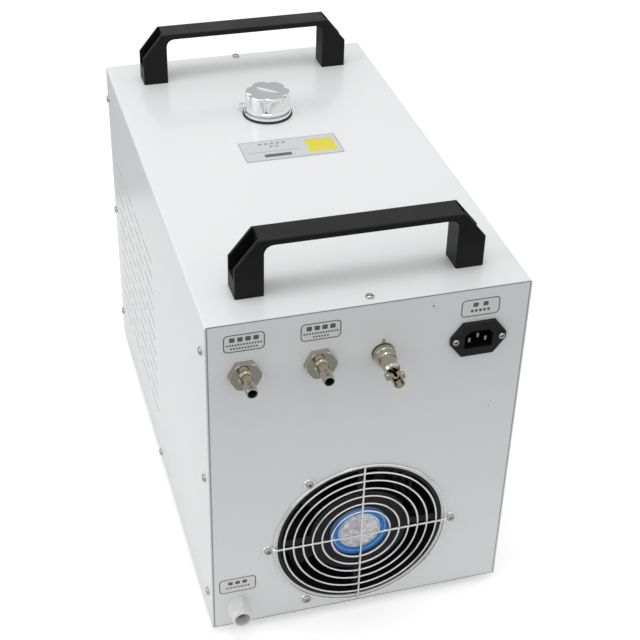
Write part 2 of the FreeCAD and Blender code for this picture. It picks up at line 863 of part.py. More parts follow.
def make_cover():
    body = new_body("cover")
    section = draw(body, "XZ")
    inner = f"({SIDE} - sheet_thickness)"
    centre_x = f"{SIDE} - fold_radius"
    centre_z = "case_height - fold_radius"
    inner_radius = "fold_radius - sheet_thickness"
    corners = [(f"-{SIDE}", "0"), (f"-{inner}", "0")]
    corners += arc(f"-({centre_x})", centre_z, inner_radius, 180, 90)
    corners += arc(centre_x, centre_z, inner_radius, 90, 0)
    corners += [(inner, "0"), (SIDE, "0")]
    corners += arc(centre_x, centre_z, "fold_radius", 0, 90)
    corners += arc(f"-({centre_x})", centre_z, "fold_radius", 90, 180)
    outline(section, corners)
    pad(body, section, "case_length", symmetric=True)
    sides = draw(body, "YZ")
    for y, z in side_screw_places():
        many_sided(sides, y, z, HOLE)
    pocket(body, sides, symmetric=True)

    lid = draw(body, "XY", "case_height")
    for y in top_screw_places():
        many_sided(lid, "0", y, HOLE)
    for x, y in handle_bolt_places():
        many_sided(lid, x, y, "handle_bolt_radius + screw_hole_gap")
    ring(lid, "0", "filler_y", "neck_radius + neck_hole_gap")
    pocket(body, lid, "2 * sheet_thickness")

    slot = draw(body, "YZ")
    block(slot, "slot_front_y", "slot_front_y + slot_length", "slot_bottom_z", "slot_bottom_z + slot_height")
    first = pocket(body, slot, symmetric=True)
    grid(body, [first], [("Y", "slot_pitch_y", 4), ("Z", "slot_pitch_z", 11)])
    keep(body, "cover")


def make_case_screws():
    screws = []
    size = ("screw_head_radius", "screw_head_height", "screw_radius", "screw_length")
    for number, (y, z) in enumerate(side_screw_places()):
        for facing, x in (("left", SIDE), ("right", f"-{SIDE}")):
            screws.append(pan_screw(f"side_screw_{facing}_{number}", *size, x=x, y=y, z=z, facing=facing))
    for number, y in enumerate(top_screw_places()):
        screws.append(pan_screw(f"top_screw_{number}", *size, y=y, z="case_height"))
    group("cover_screws", screws)


def make_feet():
    feet = []
    screws = []
    profile = [
        (HOLE, "0"),
        ("foot_top_radius", "0"),
        ("foot_bottom_radius", "foot_height"),
        ("foot_recess_radius", "foot_height"),
        ("foot_recess_radius", "foot_height - foot_recess_depth"),
        (HOLE, "foot_height - foot_recess_depth"),
    ]
    for number, (x, y) in enumerate(foot_places()):
        feet.append(many_sided_turning(f"foot_{number}", profile, 20, x=x, y=y, facing="down"))
        screws.append(
            pan_screw(
                f"foot_screw_{number}",
                "screw_head_radius",
                "screw_head_height",
                "screw_radius",
                "screw_length + foot_recess_depth",
                x=x,
                y=y,
                z="foot_recess_depth - foot_height",
                facing="down",
            )
        )
    group("rubber_feet", feet)
    group("foot_screws", screws)


# Bridge handle: a flat bar on two upright feet, each with a bolt well that opens through its sloped shoulder.

def make_handle(label, y):
    body = new_body(label, y=y, z="case_height")
    half = "(handle_span / 2)"
    leg = "(handle_span / 2 - handle_foot_length)"
    under = "(handle_height - handle_bar)"
    section = draw(body, "XZ")
    corners = [
        (f"-{half}", "0"),
        (f"-{half}", "handle_height - handle_slope_drop"),
        (f"-{half} + handle_slope_run", "handle_height"),
        (f"{half} - handle_slope_run", "handle_height"),
        (half, "handle_height - handle_slope_drop"),
        (half, "0"),
        (leg, "0"),
    ]
    corners += arc(f"{leg} - handle_inner_radius", f"{under} - handle_inner_radius", "handle_inner_radius", 0, 90)
    corners += arc(
        f"-({leg} - handle_inner_radius)", f"{under} - handle_inner_radius", "handle_inner_radius", 90, 180
    )
    corners.append((f"-{leg}", "0"))
    outline(section, corners)
    pad(body, section, "handle_width", symmetric=True)
    soften(
        body,
        "Fillet",
        "handle_edge_radius",
        lambda a, b: near(abs(a.y + b.y), "handle_width") and a.z + b.z > 0.1,
    )
    well = draw(body, "XZ")
    inside = "(handle_span / 2 - handle_foot_length + handle_wall)"
    block(well, inside, f"{half} + 1", "handle_pocket_floor", "handle_height + 1")
    right_well = pocket(body, well, "handle_width - 2 * handle_wall", symmetric=True)
    mirrored(body, [right_well], "YZ")
    bolts = draw(body, "XY")
    for side in ("-", "+"):
        many_sided(bolts, f"0 {side} ({half} + {leg}) / 2", "0", "handle_bolt_radius + screw_hole_gap")
    pocket(body, bolts, "handle_pocket_floor + 1", backward=True)
    keep(body, label)


def make_handles():
    make_handle("handle_rear", "case_length / 2 - handle_rear_inset")
    make_handle("handle_front", "-(case_length / 2 - handle_front_inset)")
    bolts = []
    nuts = []
    for number, (x, y) in enumerate(handle_bolt_places()):
        profile = [
            ("0", "-handle_pocket_floor - sheet_thickness - handle_nut_height - 2"),
            ("handle_bolt_radius", "-handle_pocket_floor - sheet_thickness - handle_nut_height - 2"),
            ("handle_bolt_radius", "0"),
            ("handle_bolt_head_radius", "0"),
            ("handle_bolt_head_radius", "handle_bolt_head_height"),
            ("handle_bolt_radius", "handle_bolt_head_height"),
            ("handle_bolt_radius * 0.9", "handle_bolt_head_height / 2"),
            ("0", "handle_bolt_head_height / 2"),
        ]
        where = {"x": x, "y": y, "z": "case_height + handle_pocket_floor"}
        bolts.append(many_sided_turning(f"handle_bolt_{number}", profile, 10, **where))
        nuts.append(
            nut(
                f"handle_nut_{number}",
                "handle_nut_flats",
                "handle_bolt_radius + thread_gap",
                "handle_nut_height",
                x=x,
                y=y,
                z="case_height - sheet_thickness",
                facing="down",
            )
        )
    group("handle_bolts", bolts)
    group("handle_nuts", nuts)


# Filler: gasket, threaded neck, its nut, a clear retaining strap, a seal and the fluted cap.

def make_filler():
    where = {"y": "filler_y", "z": "case_height"}
    outer = "(neck_radius + neck_hole_gap)"
    gasket = [(outer, "0"), ("gasket_radius", "0"), ("gasket_radius", "gasket_height"), (outer, "gasket_height")]
    keep(many_sided_turning("filler_gasket", gasket, 40, **where), "filler_gasket")

    flange_top = "(gasket_height + neck_flange_height)"
    neck = [
        ("neck_bore_radius", "-neck_drop"),
        ("neck_radius", "-neck_drop"),
        ("neck_radius", "gasket_height"),
        ("neck_flange_radius", "gasket_height"),
        ("neck_flange_radius", flange_top),
        ("neck_radius", flange_top),
        ("neck_radius", "neck_rise"),
        ("neck_bore_radius", "neck_rise"),
    ]
    keep(many_sided_turning("filler_neck", neck, 40, **where), "filler_neck")
    below = dict(where, z="case_height - sheet_thickness", facing="down")
    neck_nut = nut("neck_nut", "neck_nut_flats", "neck_radius + thread_gap", "neck_nut_height", **below)
    keep(neck_nut, "neck_nut")

    strap = new_body("cap_strap", turn=-30.0, **where)
    band = draw(strap, "XY", flange_top)
    ring(band, "0", "0", "neck_radius + strap_width")
    pad(strap, band, "strap_thickness")
    loop = draw(strap, "XY", flange_top)
    ring(loop, "strap_loop_reach", "0", "strap_loop_radius + 1.4")
    pad(strap, loop, "strap_thickness")
    holes = draw(strap, "XY", f"{flange_top} + strap_thickness")
    ring(holes, "0", "0", "neck_radius + thread_gap")
    ring(holes, "strap_loop_reach + 0.6", "0", "strap_loop_radius - 0.6")
    pocket(strap, holes, "2 * strap_thickness")
    keep(strap, "cap_strap")

    seal = [
        ("neck_bore_radius", "neck_rise"),
        ("neck_radius", "neck_rise"),
        ("neck_radius", "neck_rise + seal_height"),
        ("neck_bore_radius", "neck_rise + seal_height"),
    ]
    keep(many_sided_turning("cap_seal", seal, 40, **where), "cap_seal")

    rim = f"({flange_top} + strap_thickness + cap_gap)"
    ceiling = "(cap_height - cap_roof)"
    cavity = "(neck_radius + cap_gap)"
    profile = [
        (cavity, rim),
        ("cap_radius + 0.4", rim),
        ("cap_radius + 0.4", f"{rim} + cap_lip_height"),
        ("cap_radius", f"{rim} + cap_lip_height"),
        ("cap_radius", "cap_height - 1.5"),
        ("cap_top_radius", "cap_height"),
        ("0", "cap_height"),
        ("0", ceiling),
        (cavity, ceiling),
    ]
    cap = turned("filler_cap", profile, **where)
    flute = draw(cap, "XY", "cap_height")
    ring(flute, "cap_radius + cap_flute_radius - cap_flute_depth", "0", "cap_flute_radius")
    cut = pocket(cap, flute, "cap_flute_length")
    cut.setExpression("TaperAngle", bound("cap_flute_taper * 1 deg"))
    polar(cap, [cut], "cap_lobe_count")
    ridge = draw(cap, "XY", "cap_height")
    block(
        ridge,
        "-cap_ridge_length / 2",
        "cap_ridge_length / 2",
        "-cap_ridge_width / 2",
        "cap_ridge_width / 2",
    )
    pad(cap, ridge, "cap_ridge_height")
    keep(cap, "filler_cap")


def make_labels():
    labels = []
    spots = [
        ("return_x", "port_label_z"),
        ("outlet_x", "port_label_z"),
        ("power_label_x", "port_label_z"),
        ("drain_label_x", "drain_label_z"),
    ]
    for number, (x, z) in enumerate(spots):
        body = new_body(f"port_label_{number}", x=x, y=REAR, z=z, facing="rear")
        sketch = draw(body, "XY")
        block(sketch, "-label_width / 2", "label_width / 2", "-label_height / 2", "label_height / 2")
        pad(body, sketch, "label_thickness")
        soften(body, "Fillet", "label_corner", lambda a, b: abs(a.z - b.z) > 0.1)
        labels.append(body)
    group("port_labels", labels)
    plate = new_body("top_label", x="top_label_x", y="top_label_y", z="case_height")
    sketch = draw(plate, "XY")
    block(
        sketch,
        "-top_label_width / 2",
        "top_label_width / 2",
        "-top_label_height / 2",
        "top_label_height / 2",
    )
    pad(plate, sketch, "top_label_thickness")
    keep(plate, "top_label")


# Barbed hose fitting: a hexagon flange against the wall, a thread and a spigot inside, barbs outside.

def make_fitting(label, x, turn):
    body = new_body(label, x=x, y=REAR, z="port_z", facing="rear", turn=turn)
    head = draw(body, "XY")
    hexagon(head, "hex_flats")
    pad(body, head, "hex_thickness")
    spigot_end = "-(hose_thread_length + spigot_length)"
    stem = [
        ("0", spigot_end),
        ("spigot_radius", spigot_end),
        ("spigot_radius", "-hose_thread_length"),
        ("hose_thread_radius", "-hose_thread_length"),
        ("hose_thread_radius", "0"),
        ("barb_root_radius", "0"),
    ]
    for number in reversed(range(int(value("barb_count")))):
        tip = f"(spout_reach - {number} * barb_pitch)"
        stem += [
            ("barb_root_radius", f"{tip} - barb_ramp - barb_land"),
            ("barb_crest_radius", f"{tip} - barb_ramp - barb_land"),
            ("barb_crest_radius", f"{tip} - barb_ramp"),
            ("barb_root_radius", tip),
        ]
    stem.append(("0", "spout_reach"))
    tube = draw(body, "XZ")
    outline(tube, stem)
    spin(body, "Revolution", tube)
    bore = draw(body, "XY")
    ring(bore, "0", "0", "hose_bore_radius")
    pocket(body, bore, symmetric=True)
    keep(body, label)


def make_hose_ports():
    make_fitting("return_fitting", "return_x", 4.0)
    make_fitting("outlet_fitting", "outlet_x", 9.0)
    nuts = [
        nut(
            f"port_nut_{number}",
            "port_nut_flats",
            "hose_thread_radius + thread_gap",
            "port_nut_height",
            x=x,
            y=INNER_REAR,
            z="port_z",
            facing="front",
        )
        for number, x in enumerate(("return_x", "outlet_x"))
    ]
    group("port_nuts", nuts)


# Alarm connector: a panel socket with its tabbed washer and nut, and a plug held by a coupling ring.

def make_alarm_connector():
    where = {"x": "alarm_x", "y": REAR, "z": "alarm_z", "facing": "rear"}
    washer = new_body("alarm_washer", **where)
    disc = draw(washer, "XY")
    ring(disc, "0", "0", "alarm_washer_radius")
    pad(washer, disc, "alarm_washer_thickness")
    tab = draw(washer, "XY")
    outline(
        tab,
        [
            ("-alarm_tab_width", "-alarm_washer_radius + 1"),
            ("alarm_tab_width", "-alarm_washer_radius + 1"),
            ("alarm_tab_width / 4", "-alarm_tab_reach"),
            ("-alarm_tab_width / 4", "-alarm_tab_reach"),
        ],
    )
    pad(washer, tab, "alarm_washer_thickness")
    opening = draw(washer, "XY", "alarm_washer_thickness")
    ring(opening, "0", "0", "alarm_barrel_radius + thread_gap")
    pocket(washer, opening, "2 * alarm_washer_thickness")
    keep(washer, "alarm_washer")

    shelf = "(alarm_washer_thickness + 0.4)"
    socket = [
        ("0", "-alarm_barrel_depth"),
        ("alarm_barrel_radius", "-alarm_barrel_depth"),
        ("alarm_barrel_radius", "alarm_washer_thickness"),
        ("ring_radius - 1.2", "alarm_washer_thickness"),
        ("ring_radius - 1.2", shelf),
        ("alarm_barrel_radius", shelf),
        ("alarm_barrel_radius", "alarm_barrel_reach"),
        ("alarm_cavity_radius", "alarm_barrel_reach"),
        ("alarm_cavity_radius", "2"),
        ("0", "2"),
    ]
    keep(many_sided_turning("alarm_socket", socket, 24, **where), "alarm_socket")
    inside = dict(where, y=INNER_REAR, facing="front")
    ring_nut = nut("alarm_nut", "alarm_nut_flats", "alarm_barrel_radius + thread_gap", "alarm_nut_height", **inside)
    keep(ring_nut, "alarm_nut")

    bore = "(alarm_barrel_radius + ring_gap)"
    start = "(ring_start + ring_gap)"
    coupling = [
        (bore, start),
        ("ring_radius - 0.5", start),
        ("ring_radius", f"{start} + 0.5"),
        ("ring_radius", f"{start} + 4.2"),
        ("ring_radius - 0.5", f"{start} + 4.7"),
        ("ring_radius - 0.5", "ring_end - 1.8"),
        ("ring_radius - 1.2", "ring_end"),
        ("plug_radius + thread_gap", "ring_end"),
        ("plug_radius + thread_gap", "ring_end - ring_lip"),
        (bore, "ring_end - ring_lip"),
    ]
    keep(many_sided_turning("coupling_ring", coupling, 24, **where), "coupling_ring")

    collar_low = "(alarm_barrel_reach + 0.2)"
    collar_high = "(ring_end - ring_lip - 0.1)"
    shell = turned(
        "plug_shell",
        [
            ("0", "3"),
            ("plug_nose_radius", "3"),
            ("plug_nose_radius", collar_low),
            ("alarm_barrel_radius", collar_low),
            ("alarm_barrel_radius", collar_high),
            ("plug_radius", collar_high),
            ("plug_radius", "plug_end - 2.2"),
            ("plug_radius - 1.3", "plug_end"),
            ("0", "plug_end"),
        ],
        **where,
    )
    trough = draw(shell, "XY", "plug_end - 1")
    outer = "(plug_bore_radius + clamp_wall)"
    ring(trough, "0", "0", outer)
    pad(shell, trough, "clamp_end - plug_end + 1")
    open_side = draw(shell, "XY", "clamp_end + 1")
    block(open_side, "-plug_radius - 1", "plug_radius + 1", "-plug_radius - 1", "clamp_wall / 4")
    pocket(shell, open_side, "clamp_end + 1 - plug_end")
    ears = draw(shell, "XY", "clamp_ear_start")
    block(ears, "-clamp_ear_reach", "clamp_ear_reach", "clamp_wall / 4", "clamp_wall / 4 + clamp_ear_thickness")
    pad(shell, ears, "clamp_ear_length")
    bore_sketch = draw(shell, "XY", "clamp_end + 1")
    ring(bore_sketch, "0", "0", "plug_bore_radius")
    pocket(shell, bore_sketch, "clamp_end + 1 - 12")
    ear_middle = "(clamp_ear_start + clamp_ear_length / 2)"
    screw_holes = draw(shell, "XZ", "-5")
    for side in ("-", "+"):
        many_sided(screw_holes, f"0 {side} clamp_screw_x", ear_middle, "clamp_screw_radius + 0.05")
    pocket(shell, screw_holes, symmetric=True)
    keep(shell, "plug_shell")

    top = "clamp_wall / 4"
    saddle = new_body("cable_clamp", **where)
    band = draw(saddle, "XY", "clamp_ear_start + 0.6")
    dip = "(plug_bore_radius - 1.5)"
    block(band, "-clamp_ear_reach + 0.3", "clamp_ear_reach - 0.3", f"{top} - clamp_bar_thickness", top)
    bar = pad(saddle, band, "clamp_ear_length - 1.2")
    arch = draw(saddle, "XY", "clamp_ear_start + 0.6")
    outline(
        arch,
        [
            (f"-{dip} - 1.0", f"{top} - 0.1"),
            (f"{dip} + 1.0", f"{top} - 0.1"),
            (f"{dip} - 0.4", "plug_bore_radius - 1.2"),
            (f"-{dip} + 0.4", "plug_bore_radius - 1.2"),
        ],
    )
    pad(saddle, arch, "clamp_ear_length - 1.2")
    groove = draw(saddle, "XY", "clamp_ear_start")
    outline(
        groove,
        [
            (f"-{dip} + 0.2", f"{top} - clamp_bar_thickness - 1"),
            (f"{dip} - 0.2", f"{top} - clamp_bar_thickness - 1"),
            (f"{dip} - 1.4", "plug_bore_radius - 2.3"),
            (f"-{dip} + 1.4", "plug_bore_radius - 2.3"),
        ],
    )
    pocket(saddle, groove, "clamp_ear_length", backward=True)
    saddle_holes = draw(saddle, "XZ", "-5")
    for side in ("-", "+"):
        many_sided(saddle_holes, f"0 {side} clamp_screw_x", ear_middle, "clamp_screw_radius + 0.05")
    pocket(saddle, saddle_holes, symmetric=True)
    keep(saddle, "cable_clamp")

    screws = [
        pan_screw(
            f"clamp_screw_{number}",
            "clamp_screw_head_radius",
            "1.1",
            "clamp_screw_radius",
            "clamp_bar_thickness + clamp_ear_thickness + 0.8",
            x=f"alarm_x {side} clamp_screw_x",
            y=f"{REAR} + {ear_middle}",
            z="alarm_z - clamp_wall / 4 + clamp_bar_thickness",
        )
        for number, side in enumerate(("-", "+"))
    ]
    group("clamp_screws", screws)


# Three-pin power inlet with a six-sided flange.

def pin_places():
    return [
        ("-pin_spacing", "pin_height / 2"),
        ("pin_spacing", "pin_height / 2"),
        ("0", "-pin_height / 2"),
    ]


def pin_outline(sketch, x, y):
    block(
        sketch,
        f"{x} - pin_width / 2",
        f"{x} + pin_width / 2",
        f"{y} - pin_height / 2",
        f"{y} + pin_height / 2",
    )


def make_power_inlet():
    where = {"x": "inlet_x", "y": REAR, "z": "inlet_z", "facing": "rear"}
    body = new_body("power_inlet", **where)
    plate = draw(body, "XY")
    edge = "(inlet_edge_length / 2)"
    half = "(inlet_height / 2)"
    outline(
        plate,
        [
            (f"-{edge}", f"-{half}"),
            (edge, f"-{half}"),
            ("inlet_width / 2", "-3"),
            ("inlet_width / 2", "3"),
            (edge, half),
            (f"-{edge}", half),
            ("-inlet_width / 2", "3"),
            ("-inlet_width / 2", "-3"),
        ],
    )
    pad(body, plate, "inlet_flange")
    soften(
        body,
        "Chamfer",
        "inlet_bevel",
        lambda a, b: near(a.z, "inlet_flange") and near(b.z, "inlet_flange"),
    )
    housing = draw(body, "XY", "-(inlet_body_depth - inlet_flange)")
    block(
        housing,
        "-inlet_body_width / 2",
        "inlet_body_width / 2",
        "-inlet_body_height / 2",
        "inlet_body_height / 2",
    )
    pad(body, housing, "inlet_body_depth - 1")
    cavity = draw(body, "XY", "inlet_flange")
    wide = "(inlet_cavity_width / 2)"
    tall = "(inlet_cavity_height / 2)"
    outline(
        cavity,
        [
            (f"-{wide}", f"-{tall} + inlet_cavity_corner"),
            (f"-{wide} + inlet_cavity_corner", f"-{tall}"),
            (f"{wide} - inlet_cavity_corner", f"-{tall}"),
            (wide, f"-{tall} + inlet_cavity_corner"),
            (wide, tall),
            (f"-{wide}", tall),
        ],
    )
    pocket(body, cavity, "inlet_cavity_depth")
    screws = draw(body, "XY", "inlet_flange")
    for side in ("-", "+"):
        many_sided(screws, f"0 {side} inlet_screw_spacing / 2", "0", "inlet_screw_radius + screw_hole_gap")
    pocket(body, screws, "2 * inlet_flange")
    slots = draw(body, "XY", "inlet_flange")
    for x, y in pin_places():
        pin_outline(slots, x, y)
    pocket(body, slots)
    keep(body, "power_inlet")

    pins = []
    for number, (x, y) in enumerate(pin_places()):
        pin = new_body(f"inlet_pin_{number}", **where)
        blade = draw(pin, "XY", "-(inlet_body_depth - inlet_flange + pin_tab)")
        pin_outline(blade, x, y)
        pad(pin, blade, "inlet_body_depth + pin_tab - pin_recess")
        pins.append(pin)
    group("inlet_pins", pins)

    group(
        "inlet_screws",
        [
            pan_screw(
                f"inlet_screw_{number}",
                "inlet_screw_head_radius",
                "inlet_screw_head_height",
                "inlet_screw_radius",
                "inlet_flange + sheet_thickness + 5",
                x=f"inlet_x {side} inlet_screw_spacing / 2",
                y=f"{REAR} + inlet_flange",
                z="inlet_z",
                facing="rear",
            )
            for number, side in enumerate(("-", "+"))
        ],
    )


# Drain: a moulded spout with a hexagon root, its nut and the stopper inside its mouth.

def make_drain():
    where = {"x": "drain_x", "y": REAR, "z": "drain_z", "facing": "rear"}
    body = new_body("drain_spout", **where)
    root = draw(body, "XY")
    hexagon(root, "drain_flats", "15")
    pad(body, root, "drain_hex_length")
    spigot_end = "-(drain_thread_length + spigot_length)"
    tube = draw(body, "XZ")
    outline(
        tube,
        [
            ("0", spigot_end),
            ("spigot_radius", spigot_end),
            ("spigot_radius", "-drain_thread_length"),
            ("drain_thread_radius", "-drain_thread_length"),
            ("drain_thread_radius", "0"),
            ("drain_radius", "0"),
            ("drain_radius", "drain_reach - 0.8"),
            ("drain_radius - 0.8", "drain_reach"),
            ("0", "drain_reach"),
        ],
    )
    spin(body, "Revolution", tube)
    mouth = draw(body, "XY", "drain_reach")
    ring(mouth, "0", "0", "drain_bore_radius")
    pocket(body, mouth, "drain_reach - drain_bore_floor")
    bore = draw(body, "XY")
    ring(bore, "0", "0", "hose_bore_radius")
    pocket(body, bore, symmetric=True)
    keep(body, "drain_spout")
    inside = dict(where, y=INNER_REAR, facing="front")
    drain_nut = nut("drain_nut", "drain_nut_flats", "drain_thread_radius + thread_gap", "drain_nut_height", **inside)
    keep(drain_nut, "drain_nut")
    end = "(stopper_start + stopper_length)"
    radius = "(drain_bore_radius - stopper_gap)"
    stopper = [
        ("0", "stopper_start"),
        (radius, "stopper_start"),
        (radius, end),
        (f"{radius} - 1.5", end),
        (f"{radius} - 2.0", f"{end} - 0.8"),
        ("0", f"{end} - 0.8"),
    ]
    keep(many_sided_turning("drain_stopper", stopper, 24, **where), "drain_stopper")


# Axial fan: a cast duct with struts and a motor seat, the motor, its label, and the rotor on a shaft.

def make_fan():
    where = {"y": INNER_REAR, "z": "fan_z", "facing": "rear"}
    frame = new_body("fan_frame", **where)
    section = draw(frame, "XZ")
    barrel = "(fan_duct_radius + fan_duct_wall)"
    outline(
        section,
        [
            ("fan_duct_radius", "-fan_depth"),
            ("fan_flange_radius", "-fan_depth"),
            ("fan_flange_radius", "-fan_depth + fan_flange_thickness"),
            (barrel, "-fan_depth + fan_flange_thickness"),
            (barrel, "-fan_flange_thickness"),
            ("fan_flange_radius", "-fan_flange_thickness"),
            ("fan_flange_radius", "0"),
            ("fan_duct_radius", "0"),
        ],
    )
    spin(frame, "Revolution", section)
    flats = draw(frame, "XY")
    for sign, other in (("", ""), ("-", "-")):
        block(
            flats,
            "-fan_flange_radius - 1",
            "fan_flange_radius + 1",
            f"{sign}fan_flat_height / 2",
            f"{other}(fan_flange_radius + 2)",
        )
    pocket(frame, flats)
    seat_back = "-(fan_seat_set_back + fan_seat_thickness)"
    arms = draw(frame, "XY", seat_back)
    block(arms, "fan_seat_radius - 4", "fan_duct_radius + 1", "-fan_strut_width / 2", "fan_strut_width / 2")
    arm = pad(frame, arms, "fan_seat_thickness")
    polar(frame, [arm], "fan_strut_count")
    seat = draw(frame, "XY", seat_back)
    ring(seat, "0", "0", "fan_seat_radius")
    pad(frame, seat, "fan_seat_thickness")
    lugs = draw(frame, "XY")
    for x, z in fan_screw_places():
        many_sided(lugs, x, f"-({z} - fan_z)", HOLE)
    pocket(frame, lugs)
    keep(frame, "fan_frame")

    motor_front = "-(fan_seat_set_back + fan_seat_thickness)"
    motor_back = "-(fan_seat_set_back + fan_seat_thickness + fan_motor_length)"
    bore = "(fan_shaft_radius + fan_shaft_gap)"
    motor = [
        ("0", motor_front),
        ("fan_motor_radius", motor_front),
        ("fan_motor_radius", f"{motor_back} + 3"),
        ("fan_motor_radius - 3", motor_back),
        (bore, motor_back),
        (bore, f"{motor_front} - 8"),
        ("0", f"{motor_front} - 8"),
    ]
    keep(many_sided_turning("fan_motor", motor, 24, **where), "fan_motor")

    label = [
        ("0", "-fan_seat_set_back"),
        ("fan_label_radius", "-fan_seat_set_back"),
        ("fan_label_radius", "-fan_seat_set_back + fan_label_thickness"),
        ("0", "-fan_seat_set_back + fan_label_thickness"),
    ]
    keep(many_sided_turning("fan_label", label, 40, **where), "fan_label")

    hub = [
        ("0", "-fan_hub_end"),
        ("fan_hub_radius - 4", "-fan_hub_end"),
        ("fan_hub_radius", "-fan_hub_end + 4"),
        ("fan_hub_radius", "-fan_hub_start"),
        ("fan_hub_radius - fan_hub_wall", "-fan_hub_start"),
        ("fan_hub_radius - fan_hub_wall", "-fan_hub_end + fan_hub_wall"),
        ("fan_shaft_radius", "-fan_hub_end + fan_hub_wall"),
        ("fan_shaft_radius", f"{motor_front} - 10"),
        ("0", f"{motor_front} - 10"),
    ]
    rotor = turned("fan_rotor", hub, **where)
    blade = rotor.newObject("PartDesign::AdditiveLoft", "fan_rotor_blade")
    sections = []
    for reach, half_chord, lead, trail, camber in (
        ("fan_hub_radius - 2", 15, -12, -40, 3.0),
        ("fan_blade_radius - 5", 24, -14, -36, 4.5),
    ):
        sketch = draw(rotor, "XZ", reach)
        middle = (lead + trail) / 2
        corners = [
            (f"-{half_chord}", f"{lead}"),
            ("0", f"{middle + camber}"),
            (f"{half_chord}", f"{trail}"),
            (f"{half_chord}", f"{trail} - fan_blade_thickness"),
            ("0", f"{middle + camber} - fan_blade_thickness"),
            (f"-{half_chord}", f"{lead} - fan_blade_thickness"),
        ]
        outline(sketch, corners)
        sections.append(sketch)
    blade.Profile = sections[0]
    blade.Sections = [sections[1]]
    blade.Ruled = True
    document.recompute()
    polar(rotor, [blade], "fan_blade_count")
    keep(rotor, "fan_rotor")


def guard_radii():
    step = "(guard_outer_radius - guard_inner_radius) / (guard_ring_count - 1)"
    return [f"guard_inner_radius + {number} * {step}" for number in range(int(value("guard_ring_count")))]


def make_guard():
    where = {"y": REAR, "z": "fan_z", "facing": "rear"}
    wire = value("guard_wire_radius")
    reach = value("guard_outer_radius")
    spoke = value("guard_spoke_radius")
    pieces = []
    for radius in guard_radii():
        square = [
            (f"{radius} - guard_wire_radius", "0"),
            (f"{radius} + guard_wire_radius", "0"),
            (f"{radius} + guard_wire_radius", "2 * guard_wire_radius"),
            (f"{radius} - guard_wire_radius", "2 * guard_wire_radius"),
        ]
        pieces.append(flat_sided(square, 36))
    level = 1.6 * wire
    for size in ((2 * reach, 2 * spoke), (2 * spoke, 2 * reach)):
        corner = FreeCAD.Vector(-size[0] / 2, -size[1] / 2, level)
        pieces.append(Part.makeBox(size[0], size[1], 2 * spoke, corner))
    eye = [
        ("screw_radius + 0.4", "0"),
        ("guard_loop_radius + 1.2", "0"),
        ("guard_loop_radius + 1.2", "guard_eye_height"),
        ("screw_radius + 0.4", "guard_eye_height"),
    ]
    for x, z in fan_screw_places():
        pieces.append(flat_sided(eye, 12, value(x), -value(f"{z} - fan_z")))
    body = fixed_shape("finger_guard", pieces[0].multiFuse(pieces[1:]), **where)
    keep(body, "finger_guard")

    group(
        "guard_screws",
        [
            pan_screw(
                f"guard_screw_{number}",
                "screw_head_radius",
                "screw_head_height",
                "screw_radius",
                "fan_screw_length",
                x=x,
                y=f"{REAR} + guard_eye_height",
                z=z,
                facing="rear",
            )
            for number, (x, z) in enumerate(fan_screw_places())
        ],
    )


# Front wall: a display behind a window in a bezel, and a rocker switch in its frame.

